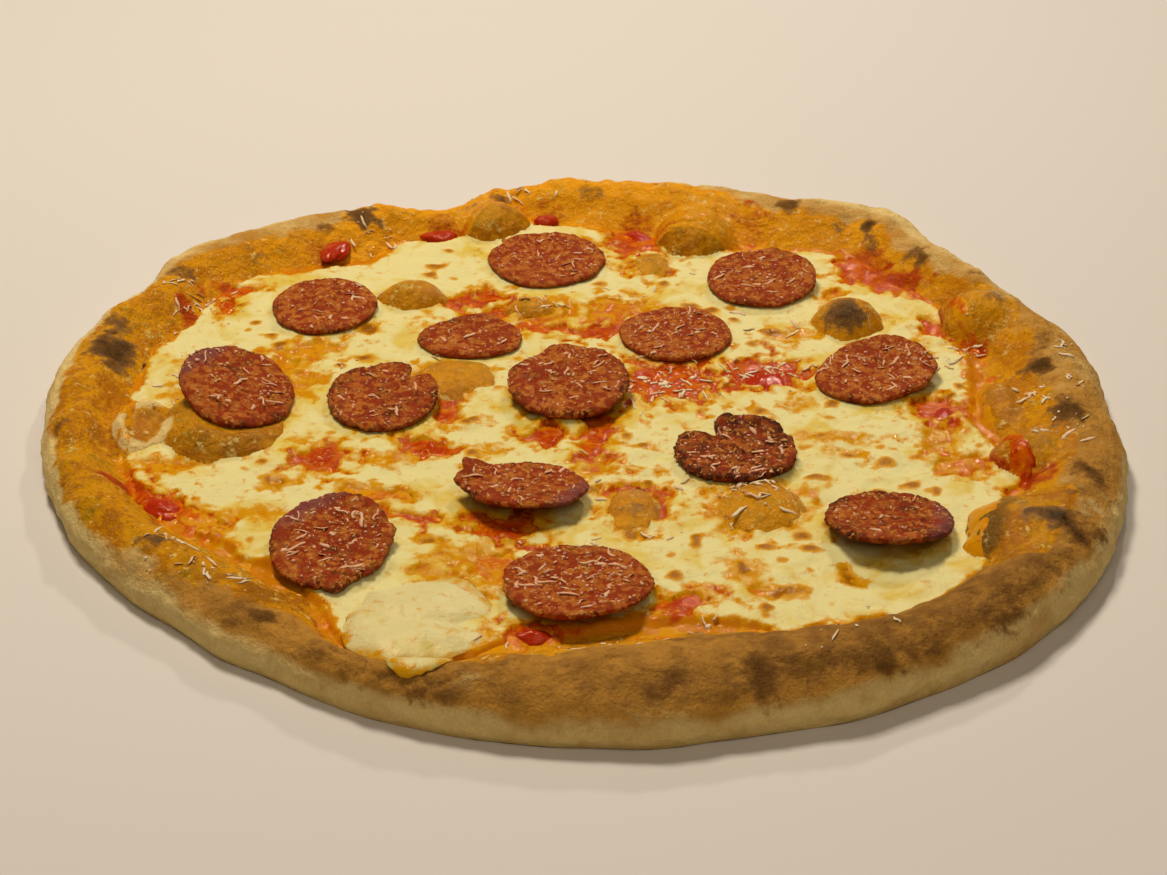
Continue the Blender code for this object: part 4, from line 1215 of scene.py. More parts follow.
def lobe(
    rings: int, spokes: int, form: Sequence[float], outline: Array
) -> tuple[Body, Array]:
    """A closed round lobe, still flat.

    Args:
        rings: Number of rings from its middle to its edge.
        spokes: Number of steps round it.
        form: The x and y of its middle, and half of its width and depth.
        outline: Its reach at every whole degree, as a share of those halves.

    Returns:
        The body, and for each vertex its x, its y and its share of the way out, above 1 at the foot.
    """
    body = turned(rings + 2, spokes)
    ring, angle = ring_and_angle(body)
    reach = np.clip(ring / rings, 0, 1) * np.interp(angle, DEGREES, outline)
    reach = np.where(ring > rings, 0, reach)
    cos, sin = heading(angle)
    x, y = form[0] + form[2] * reach * cos, form[1] + form[3] * reach * sin
    return body, np.stack([x, y, ring / rings])


def place_vertices(body: Body, places: Array) -> None:
    """Moves every vertex to its place in millimetres."""
    for vert, place in zip(body.verts, places.tolist()):
        vert.co = place


def places_of(mesh: bpy.types.Mesh) -> Array:
    """Places of a mesh's vertices as an array."""
    flat = np.empty(len(mesh.vertices) * 3, dtype=np.float32)
    mesh.vertices.foreach_get("co", flat)
    return flat.reshape(-1, 3).astype(float)


def as_mesh(name: str, body: Body) -> bpy.types.Mesh:
    """Turns a body into a mesh and frees it."""
    mesh = bpy.data.meshes.new(name)
    body.to_mesh(mesh)
    body.free()
    return mesh


def join(whole: Body, part: Body) -> None:
    """Moves one body into another and frees it."""
    scratch = as_mesh("part", part)
    whole.from_mesh(scratch)
    bpy.data.meshes.remove(scratch)


def put(name: str, data: bpy.types.ID) -> bpy.types.Object:
    """Puts a new object into the scene."""
    made = bpy.data.objects.new(name, data)
    bpy.context.scene.collection.objects.link(made)
    return made


def closed_mesh(name: str, body: Body) -> bpy.types.Mesh:
    """Merges a shaped body's doubles, turns its faces out and makes it a mesh.

    Args:
        name: Name of the mesh.
        body: The closed body, freed here.

    Returns:
        The mesh in millimetres.
    """
    bmesh.ops.remove_doubles(body, verts=body.verts[:], dist=0.004)
    bmesh.ops.recalc_face_normals(body, faces=body.faces[:])
    return as_mesh(name, body)


@cache
def material_of(finish: Finish) -> bpy.types.Material:
    """The material of a finish, made when first asked for."""
    return finish.material()


def dress(
    mesh: bpy.types.Mesh, finish: Finish, nodes: tuple[str, ...], marks: dict[str, Array]
) -> None:
    """Makes a finished piece from a mesh in millimetres.

    Args:
        mesh: The shaped mesh, whose name the piece takes.
        finish: Its finish.
        nodes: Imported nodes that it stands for.
        marks: Named values for each vertex, which the finish reads.
    """
    for name, values in marks.items():
        layer = mesh.attributes.new(name=name, type="FLOAT", domain="POINT")
        layer.data.foreach_set("value", np.asarray(values, dtype=np.float32))
    mesh.transform(Matrix.Scale(MM, 4))
    mesh.shade_smooth()
    mesh.materials.append(material_of(finish))
    piece = put(mesh.name, mesh)
    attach(piece, ROOT)
    if nodes:
        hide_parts(*nodes)
    LOG.info("%s: %d faces", mesh.name, len(mesh.polygons))


# How far out the oil soaked into the rim: (angle, share of the rim's width).
OIL_REACH = (
    (0, 0.50), (15, 0.45), (30, 0.55), (45, 0.50), (60, 0.50), (75, 0.84), (90, 0.92), (108, 0.95),
    (116, 0.90), (126, 0.62), (138, 0.52), (150, 0.62), (162, 0.80), (175, 0.88), (190, 0.86), (205, 0.90),
    (218, 0.88), (228, 0.72), (240, 0.42), (250, 0.45), (262, 0.55), (272, 0.40), (285, 0.18), (296, 0.02),
    (312, 0.02), (324, 0.10), (331, 0.48), (345, 0.52), (360, 0.50),
)
# How brown the rim baked: (angle, share).
BAKE_LEVEL = (
    (0, 0.72), (30, 0.62), (60, 0.52), (90, 0.48), (120, 0.50), (150, 0.60), (180, 0.66), (215, 0.84),
    (250, 1.0), (275, 1.08), (300, 1.26), (325, 1.20), (345, 0.90), (360, 0.72),
)
# Painted light on the rim's gold oil: how much brighter it is painted, most on the back slope, which faces
# away from the key lamp, and some on the front slope in a slice's shadow: (angle, share).
PAINTED_OIL_GLOW = (
    (0, 0.30), (30, 0.35), (60, 0.70), (85, 1.0), (118, 1.0), (135, 0.60), (160, 0.30), (190, 0.15),
    (225, 0.0), (250, 0.20), (270, 0.50), (285, 0.20), (320, 0.0), (345, 0.20), (360, 0.30),
)
# How far up the outer wall the dough stayed pale: (angle, share of the rim's height).
PALE_WALL = (
    (0, 0.35), (40, 0.30), (70, 0.45), (110, 0.45), (140, 0.50), (165, 0.95), (180, 1.10), (200, 0.95),
    (215, 0.70), (230, 0.62), (250, 0.60), (270, 0.50), (290, 0.55), (310, 0.72), (330, 0.80), (345, 0.60),
    (360, 0.35),
)
# Where the pale outside of the rim begins: (angle, share of the rim's width).
PALE_FROM = (
    (0, 0.80), (25, 0.72), (45, 0.62), (65, 0.70), (85, 0.84), (120, 0.80), (140, 0.68), (155, 0.60),
    (178, 0.56), (198, 0.58), (212, 0.70), (228, 0.80), (360, 0.80),
)


@dataclass
class Crust:
    """The rim, its outer wall and the underside, in one closed piece."""

    spokes: int = 720
    floor_rings: int = 24
    floor_strip: float = 14.0
    strip_swells: Marks = ((187, 44, 60),)
    floor_sunk: float = 1.2
    section_rings: int = 86
    under_radii: tuple[float, ...] = (0.97, 0.9, 0.75, 0.5, 0.25)
    wall_relief: float = 0.6
    finish: BakedDough = BakedDough()

    def places(self, ring: Array, angle: Array) -> tuple[Array, Array]:
        """Where each vertex of the flat disc goes.

        Args:
            ring: Number of its ring.
            angle: Its angle.

        Returns:
            Places in millimetres, and for each its share of the way along the section, below 0 inside
            the floor and above 1 on the underside.
        """
        foot = DOUGH.foot_radius(angle)
        outer = DOUGH.outer_radius(angle) + DOUGH.lump(angle)
        height = DOUGH.rim_height(angle)
        first = 1 + self.floor_rings
        along = np.clip((ring - first) / (self.section_rings - 1), 0, 1)
        points = along * (len(DOUGH.share) - 1)
        index = np.arange(len(DOUGH.share))
        share = np.interp(points, index, DOUGH.share)
        radius = foot + share * (outer - foot)
        z = np.interp(points, index, DOUGH.of_floor) * FLOOR + np.interp(points, index, DOUGH.of_rim) * height
        inner = ring < first
        strip = self.floor_strip + swell(self.strip_swells, angle)
        radius = np.where(inner, foot - strip * (first - ring) / self.floor_rings, radius)
        radius = np.where(ring == 0, 0, radius)
        last = first + self.section_rings - 1
        under = ring > last
        steps = np.array((*self.under_radii, 0.0))
        radius = np.where(under, radius * steps[np.clip(ring - last - 1, 0, len(steps) - 1)], radius)
        cos, sin = heading(angle)
        x, y = radius * cos, radius * sin
        on_top = (ring >= first) & (ring <= last) & (points < DOUGH.top_points)
        z = np.where(on_top, DOUGH.top(x, y), z)
        sunk = FLOOR - self.floor_sunk * ease(first, first - self.floor_rings * 0.5, ring)
        fold, pit = DOUGH.swirl(x, y)
        domes = np.maximum(sunk, DOUGH.bubbles(x, y, RIM_BUBBLES)) + SWIRL_HEIGHT * (fold - SWIRL_PIT * pit)
        z = np.where(inner, np.where(ring == 0, sunk, domes), z)
        z = np.where(under, 0, z)
        where = np.where(inner, -1.0, np.where(under, 2.0, points / DOUGH.top_points))
        return np.stack([x, y, z], axis=-1), where

    def relief(self, places: Array, where: Array, angle: Array) -> Array:
        """Moves the skin in and out: upwards on the rim, outwards on the wall.

        Args:
            places: Places before the relief.
            where: Share of the way along the section.
            angle: Angle of each place.

        Returns:
            The places with the relief on them.
        """
        x, y, z = places.T
        crease = DOUGH.crease(x, y)
        top = (DOUGH.skin(x, y) - 0.7 * crease) * ease(-0.2, 0.25, where)
        run = np.radians(angle) * OUTER_RADIUS
        wall = self.wall_relief * ROLL.smooth(run, z * 1.3, 9.0, 3) + 0.15 * WARP.smooth(run, z, 2.5, 2)
        side = ease(0.80, 1.02, where) * (where <= 1.9)
        lifted = top * (1 - side) * (where < 1.9)
        pushed = (wall - 0.5 * crease) * side * ease(0.2, 3.5, z)
        cos, sin = heading(angle)
        raised = np.maximum(z + lifted, 0)
        pressed = np.where(where < 1, TOPPING.under_slices(x, y, raised, DOUGH_SPARE), raised)
        return np.stack([x + pushed * cos, y + pushed * sin, pressed], axis=-1)

    def marks(self, places: Array) -> dict[str, Array]:
        """What the oven, the oil and the flour did at each place, and where light and shade are painted on.

        Args:
            places: Places in millimetres.

        Returns:
            Values for the finish.
        """
        x, y, z = places.T
        angle, share = DOUGH.polar(x, y)
        height = DOUGH.rim_height(angle)
        rolled = ROLL.smooth(x, y, 22.0, 2)
        oil_edge = along(OIL_REACH, angle) + 0.10 * rolled + 0.05 * WARP.smooth(x, y, 6.0, 2)
        bubbles = ease(FLOOR + 2.0, FLOOR + 5.0, DOUGH.bubbles(x, y)) * ease(0.75, 0.6, share)
        oil = np.maximum(ease(oil_edge + 0.08, oil_edge - 0.10, share), 1.5 * bubbles)
        pale_line = along(PALE_WALL, angle) + 0.14 * rolled
        pale_from = along(PALE_FROM, angle) + 0.08 * rolled
        outside = ease(pale_from, pale_from + 0.13, share)
        level = along(BAKE_LEVEL, angle)
        low = ease(pale_line + 0.30, pale_line - 0.15, z / height)
        pale = outside * np.maximum(low, 0.75 * ease(0.80, 0.60, pale_from))
        bake = (level + 0.15 * rolled) * (1 - 0.78 * pale)
        under = z < 0.05
        patches = 0.35 + 0.5 * ROLL.smooth(x, y, 30.0, 3)
        leopard, number = GRAIN.cells(x + 3 * WARP.smooth(x, y, 8.0), y, 15.0)
        scorched = np.where(number > 0.55, ease(0.55, 0.2, leopard), 0) * 0.8
        # Painted shade: the rim's creases darken through the char mark, besides the listed char marks.
        char = np.maximum(marked(x, y, CHAR_MARKS, 0.45, 0.7), 0.42 * DOUGH.crease(x, y))
        fold, _ = DOUGH.swirl(x, y)
        ring = ease(0.30, 0.70, fold)
        # Painted light: the glow table brightens the oil; the murky marks, dark oil and partly painted shade,
        # pull it below 0.
        painted_glow = along(PAINTED_OIL_GLOW, angle) * (share > -0.05) - marked(x, y, MURKY_AND_SHADE_MARKS, 0.4, 0.5)
        raised = ease(FLOOR + 4.0, FLOOR + 7.5, DOUGH.bubbles(x, y))
        flour = np.maximum(marked(x, y, FLOUR_MARKS, 0.5, 0.6), 1.3 * ring)
        return {
            "bake": np.where(under, patches, bake),
            "oil": np.where(under, 0, oil * (1 - 0.85 * ring)),
            "painted_glow": painted_glow,
            "stain": np.where(under, 0, marked(x, y, STAIN_MARKS, 0.5, 0.45)) * (z > 2) * (1 - 0.85 * raised),
            "char": np.where(under, scorched, char * ease(0.30 * height, 0.80 * height, z)),
            "flour": np.where(under, 0.25, flour * ease(1, 4, z)),
        }

    def build(self) -> None:
        """Builds and dresses the crust."""
        body = turned(1 + self.floor_rings + self.section_rings + len(self.under_radii) + 1, self.spokes)
        ring, angle = ring_and_angle(body)
        places, where = self.places(ring, angle)
        place_vertices(body, self.relief(places, where, angle))
        mesh = closed_mesh("pizza_crust", body)
        dress(mesh, self.finish, ("crust",), self.marks(places_of(mesh)))


@dataclass
class FloorBubbles:
    """The dough bubbles that stand up through the sauce and the cheese."""

    rings: int = 26
    spokes: int = 84
    spare: float = 1.22
    sunk: float = 1.2
    relief: float = 0.4
    # Least painted light on the bubbles' oil.
    painted_glow: float = 0.4
    finish: BakedDough = BakedDough()

    def build(self, crust: Crust) -> None:
        """Builds and dresses all bubbles as one piece.

        Args:
            crust: The crust, whose rules give the marks.
        """
        joined = bmesh.new()
        for *form, _ in FLOOR_BUBBLES:
            body, (x, y, share) = lobe(self.rings, self.spokes, form, np.full_like(DEGREES, self.spare))
            top = DOUGH.top(x, y) + self.relief * DOUGH.skin(x, y)
            top = TOPPING.under_slices(x, y, top, DOUGH_SPARE)
            z = np.where(share >= 1, FLOOR - self.sunk, top)
            place_vertices(body, np.stack([x, y, z], axis=-1))
            join(joined, body)
        mesh = closed_mesh("dough_bubbles", joined)
        marks = crust.marks(places_of(mesh))
        marks["oil"] = np.maximum(marks["oil"], 1.2)
        # Painted light: the bubbles' oil gets at least this glow.
        marks["painted_glow"] = np.maximum(marks["painted_glow"], self.painted_glow)
        dress(mesh, self.finish, ("crust",), marks)


@dataclass(frozen=True)
class Film:
    """A closed film over the dough, cut from a square grid and shaped by a rule of height."""

    cell: float
    half: float = 150.0
    bottom: float = FLOOR - 0.6

    def shaped(self, name: str, kept: Rule, height: Rule) -> bpy.types.Mesh:
        """Cuts the grid to its outline, lifts it to its heights and closes it below.

        Args:
            name: Name of the mesh.
            kept: Rule that says which places belong to the film.
            height: Rule that gives the height of each place.

        Returns:
            The closed mesh in millimetres.
        """
        body = bmesh.new()
        count = round(2 * self.half / self.cell)
        bmesh.ops.create_grid(body, x_segments=count, y_segments=count, size=self.half)
        inside = kept(*flat_places(body)).tolist()
        dropped = [vert for vert, keep in zip(body.verts, inside) if not keep]
        bmesh.ops.delete(body, geom=dropped, context="VERTS")
        tops = height(*flat_places(body)).tolist()
        for vert, top in zip(body.verts, tops):
            vert.co.z = top
        border = [edge for edge in body.edges if edge.is_boundary]
        skirt = bmesh.ops.extrude_edge_only(body, edges=border)["geom"]
        for part in skirt:
            if isinstance(part, bmesh.types.BMVert):
                part.co.z = self.bottom
        lower = [part for part in skirt if isinstance(part, bmesh.types.BMEdge) and part.is_boundary]
        bmesh.ops.contextual_create(body, geom=lower)
        loose = [vert for vert in body.verts if not vert.link_faces]
        bmesh.ops.delete(body, geom=loose, context="VERTS")
        return closed_mesh(name, body)


@dataclass
class Sauce:
    """The film of tomato sauce over the floor and the foot of the rim."""

    film: Film = Film(cell=1.1)
    slope_share: float = 0.22
    finish: CookedSauce = CookedSauce()

    def build(self) -> None:
        """Builds and dresses the sauce."""

        def kept(x: Array, y: Array) -> Array:
            """Places from the middle to a little up the rim's slope."""
            return DOUGH.polar(x, y)[1] < self.slope_share

        def height(x: Array, y: Array) -> Array:
            """The sauce's top, pressed down by the slices."""
            return TOPPING.under_slices(x, y, TOPPING.sauce(x, y), SAUCE_SPARE)

        mesh = self.film.shaped("tomato_sauce_film", kept, height)
        x, y, _ = places_of(mesh).T
        slope = ease(-0.1, 0.05, DOUGH.polar(x, y)[1])
        pulpy = 0.2 + 0.6 * marked(x, y, STRONG_WINDOWS, 0.5, 0.8) - 0.15 * slope
        red = np.maximum(pulpy, 0.75 * marked(x, y, STAIN_MARKS, 0.5, 0.5) * slope)
        marks = {"red": red, "char": marked(x, y, CHAR_MARKS, 0.4, 0.6)}
        dress(mesh, self.finish, ("tomato_sauce",), marks)


@dataclass
class MeltedCheese:
    """The melted mozzarella, with its windows, oil and browned blisters, and a painted shadow round the
    raised slices.
    """

    film: Film = Film(cell=0.9, bottom=FLOOR + 0.2)
    slope_share: float = 0.36
    small_spots: float = 0.90
    # How dark the painted shadow round a slice is, for each millimetre that the slice leans up.
    slice_shadow: float = 0.11
    finish: MeltedMozzarella = MeltedMozzarella()

    def build(self) -> None:
        """Builds and dresses the cheese."""

        def kept(x: Array, y: Array) -> Array:
            """Places from the middle to where the rim's slope stands above the cheese."""
            return DOUGH.polar(x, y)[1] < self.slope_share

        def height(x: Array, y: Array) -> Array:
            """The cheese's top."""
            return TOPPING.cheese(x, y)[0]

        mesh = self.film.shaped("melted_cheese", kept, height)
        x, y, _ = places_of(mesh).T
        spots = marked(x, y, SPOT_MARKS, 0.55, 0.75)
        away, number = GRAIN.cells(x + 1.5 * WARP.smooth(x, y, 5.0), y, 7.5)
        freckles = np.where(number > self.small_spots, 0.75 * ease(0.34, 0.05, away), 0)
        clean = marked(x, y, CLEAN_CHEESE, 0.5, 0.5)
        close = marked(x, y, widened(SAUCE_WINDOWS, 1.5), 0.4, 0.6)
        shown = 0.8 * marked(x, y, widened(STRONG_WINDOWS, 1.4), 0.5, 0.5)
        # Painted shadow: the cheese round each raised slice darkens to gold through the oil mark, more where
        # the slice leans up further.
        slice_shadow = np.zeros(len(x))
        for surface in SLICE_SURFACES:
            out, _ = surface.inside(x, y)
            slice_shadow = np.maximum(slice_shadow, self.slice_shadow * surface.form.lean * ease(1.3, 0.95, out))
        marks = {
            "cover": TOPPING.cover(x, y),
            "spot": np.maximum(spots, freckles * (1 - clean)),
            "oil": 0.14 + 0.24 * ROLL.smooth(x, y, 24.0, 3) + 0.32 * close - 0.75 * clean + slice_shadow,
            "red": np.maximum(shown, 0.6 * marked(x, y, STAIN_MARKS, 0.5, 0.5)),
        }
        dress(mesh, self.finish, ("mozzarella",), marks)


# The clean piece kept its milk: duller and less yellow than the sheet.
SOFT_MOZZARELLA = MeltedMozzarella(name="soft_mozzarella", cream="#ddd498", butter="#ccb862", roughness=0.35)


@dataclass
class MozzarellaPiece:
    """The clean piece of mozzarella near the front, soft and slightly slumped."""

    rings: int = 44
    spokes: int = 150
    foot: float = 6.9
    swollen: float = 0.8
    finish: MeltedMozzarella = SOFT_MOZZARELLA

    def build(self) -> None:
        """Builds and dresses the piece."""
        ragged = 1 + PIECE_UNEVEN * walked(DEGREES, 1.3, 3.7) + 0.10 * walked(DEGREES, 3.6, 1.2)
        body, (x, y, share) = lobe(self.rings, self.spokes, (*PIECE_CENTRE, *PIECE_HALF), ragged)
        side = x - PIECE_CENTRE[0]
        crease = y - PIECE_CREASE + 0.12 * side - 0.012 * side**2
        fold = 0.9 * np.exp(-((crease / 3.0) ** 2)) * ease(1, 0.6, share) * ease(-60, -48, x)
        lip = 0.5 * ease(2.0, 9.0, crease)
        top = PIECE_TOP + self.swollen
        merging = ease(-0.9, 0.9, (x - PIECE_CENTRE[0] + y - PIECE_CENTRE[1]) / 24)
        falling = (top - self.foot) * np.clip(share, 0, 1) ** (5.0 - 3.2 * merging)
        crown = top - 0.2 + lip - falling - fold
        z = np.where(share > 1, self.foot - 1.0, crown + 0.55 * ROLL.smooth(x, y, 12.0, 2))
        place_vertices(body, np.stack([x, y, z], axis=-1))
        tongue, (x, y, share) = lobe(self.rings, self.spokes, (*TONGUE, *TONGUE_HALF), ragged)
        ground = DOUGH.top(x, y)
        swollen = ground + 1.5 * np.sqrt(np.clip(1.02 - share**2, 0, 1)) + 0.2 * ROLL.smooth(x, y, 6.0, 2)
        place_vertices(tongue, np.stack([x, y, np.where(share > 1, ground - 1.0, swollen)], axis=-1))
        join(body, tongue)
        mesh = closed_mesh("clean_mozzarella", body)
        x, y, _ = places_of(mesh).T
        away = np.hypot((x - PIECE_CENTRE[0]) / PIECE_HALF[0], (y - PIECE_CENTRE[1]) / PIECE_HALF[1])
        off = np.hypot((x - TONGUE[0]) / TONGUE_HALF[0], (y - TONGUE[1]) / TONGUE_HALF[1])
        edge = np.minimum(ease(0.78, 1.0, away), ease(0.4, 1.0, off))
        # Painted shade: the front of the piece turns darker gold through the oil mark.
        low = 0.4 * ease(-124, -134, y)
        # Painted shade in the folds, laid on through the browned-blister mark.
        pocket = marked(x, y, PIECE_POCKETS, 0.4, 0.7)
        marks = {"cover": 1 - 0.3 * edge, "spot": 0.9 * pocket, "oil": 0.45 * edge - 0.1 + low, "red": 0 * x}
        dress(mesh, self.finish, ("mozzarella_piece",), marks)


@dataclass
class PepperoniSlices:
    """The curled slices, each with its own grain and crisped edge, painted shade low on its side and on some
    a painted purple reflection.
    """

    rings: int = 36
    spokes: int = 128
    side_rings: int = 4
    under_rings: int = 8
    grain: float = 0.42
    finish: CuredSausage = CuredSausage()

    def build_one(self, number: int, surface: SliceSurface) -> None:
        """Builds and dresses one slice.

        Args:
            number: The slice's number.
            surface: The rule of its surface.
        """
        form = surface.form
        body = turned(self.rings + self.side_rings + self.under_rings + 1, self.spokes)
        ring, angle = ring_and_angle(body)
        last_top, last = self.rings, self.rings + self.side_rings + self.under_rings
        share = np.minimum(np.minimum(ring / last_top, 1.0), (last - ring) / self.under_rings)
        down = np.clip((ring - last_top) / self.side_rings, 0, 1)
        height = SLICE_THICKNESS * (1 - down)
        bulge = 1 + 0.02 * np.sin(np.pi * down)
        places = surface.point(share * bulge, angle, height)
        x, y, _ = places.T
        away, _ = GRAIN.cells(x * 1.03 + 7 * number, y, 1.7)
        coarse, _ = GRAIN.cells(x + 31, y * 1.02 + 5 * number, 3.4)
        bumps = (0.5 - away) * self.grain + (0.5 - coarse) * 0.5 * (0.6 + form.dark)
        bumps += 0.45 * ROLL.smooth(x, y, 9.0, 2)
        rounded = -0.55 * ease(0.90, 1.0, share)
        worn = (bumps + rounded) * np.where(ring <= last_top, 1, 1 - down)
        places[:, 2] += worn + 0.35 * ease(0.78, 0.93, share) * form.dark
        places[:, 2] -= np.where(ring > last_top, 0.2 * (1 - share), 0)
        place_vertices(body, places)
        mesh = closed_mesh(f"pepperoni_slice_{number:02d}", body)
        x, y, z = places_of(mesh).T
        out, under = surface.inside(x, y)
        edge = ease(0.84, 1.0, out)
        # Painted shade: the underside and the low part of the side are darker and show no fat grains.
        below = ease(1.0, 0.2, z - under)
        dark = form.dark * 0.5 + 0.18 * edge + 0.25 * ROLL.smooth(x + 40 * number, y, 11.0, 2)
        # Painted reflection: a purple sheen on the side of some slices that faces the sheen's angle.
        painted_sheen = np.zeros(len(x))
        if form.painted_sheen is not None:
            reach, _ = rotated(x - form.x, y - form.y, -form.painted_sheen)
            painted_sheen = ease(0.35, 0.9, reach / form.across) * 0.7
        marks = {"dark": dark + 0.2 * below, "painted_sheen": painted_sheen, "grain": (1 - below) * (1 - 0.5 * painted_sheen)}
        dress(mesh, self.finish, (f"pepperoni_{number:02d}",), marks)

    def build(self) -> None:
        """Builds all slices."""
        for number, surface in enumerate(SLICE_SURFACES, start=1):
            self.build_one(number, surface)


@dataclass
class TomatoPieces:
    """The pieces of chopped tomato."""

    finish: CookedTomato = CookedTomato()

    def build(self) -> None:
        """Builds and dresses each piece."""
        for number, (x, y, half_length, half_width, turn, top) in enumerate(TOMATO_PIECES, start=1):
            body = bmesh.new()
            bmesh.ops.create_icosphere(body, subdivisions=4, radius=1)
            ball = np.array([vert.co[:] for vert in body.verts])
            wobble = ROLL.smooth(ball[:, 0] * 4 + x, ball[:, 1] * 4 + y + ball[:, 2] * 3, 4.0, 3)
            ball *= (1 + 0.16 * wobble)[:, None]
            side_x, side_y = rotated(ball[:, 0] * half_length, ball[:, 1] * half_width, turn)
            ground = max(float(DOUGH.top(np.array([x]), np.array([y]))[0]), SAUCE_LEVEL)
            z = ground + np.where(ball[:, 2] > 0, ball[:, 2] * top, ball[:, 2] * TOMATO_SUNK)
            place_vertices(body, np.stack([x + side_x, y + side_y, z], axis=-1))
            mesh = closed_mesh(f"tomato_piece_{number:02d}", body)
            dress(mesh, self.finish, (f"tomato_{number:02d}",), {})


# Where grated cheese lies beside the slices: (x, y, half-length, half-width, turn, number of shreds).
SHRED_CLUSTERS = (
    (27, 14, 17, 13, 0, 34), (61, 19, 13, 8, 0, 20), (112, 22, 10, 10, 0, 16), (54, -58, 12, 10, 0, 14),
    (52, -48, 9, 5, 0, 12), (-76, 67, 8, 8, 0, 8), (-131, 66, 16, 12, 20, 20), (-118, -84, 5, 4, 0, 6),
    (-110, -86, 4, 3, 0, 4), (-110, -98, 13, 6, -10, 7), (-95, -103, 10, 6, -10, 6),
    (143, -4, 8, 8, 30, 8), (155, 22, 5, 6, 0, 4), (157, 4, 4, 8, 0, 4), (150, -24, 4, 7, 0, 4),
    (141, -30, 9, 5, -30, 6), (36, -118, 8, 6, 0, 4), (-14, 62, 8, 8, 0, 7), (-72, 112, 12, 8, 0, 8),
    (12, 80, 30, 12, 0, 6), (5, -132, 30, 10, 0, 6), (70, -130, 30, 14, 20, 6), (-60, 20, 20, 12, 0, 6),
    (0, -60, 60, 50, 0, 14), (60, 50, 40, 30, 0, 8), (-128, 5, 12, 20, 0, 10), (-20, 140, 20, 6, 0, 6),
    (126, 34, 8, 5, 30, 8),
)


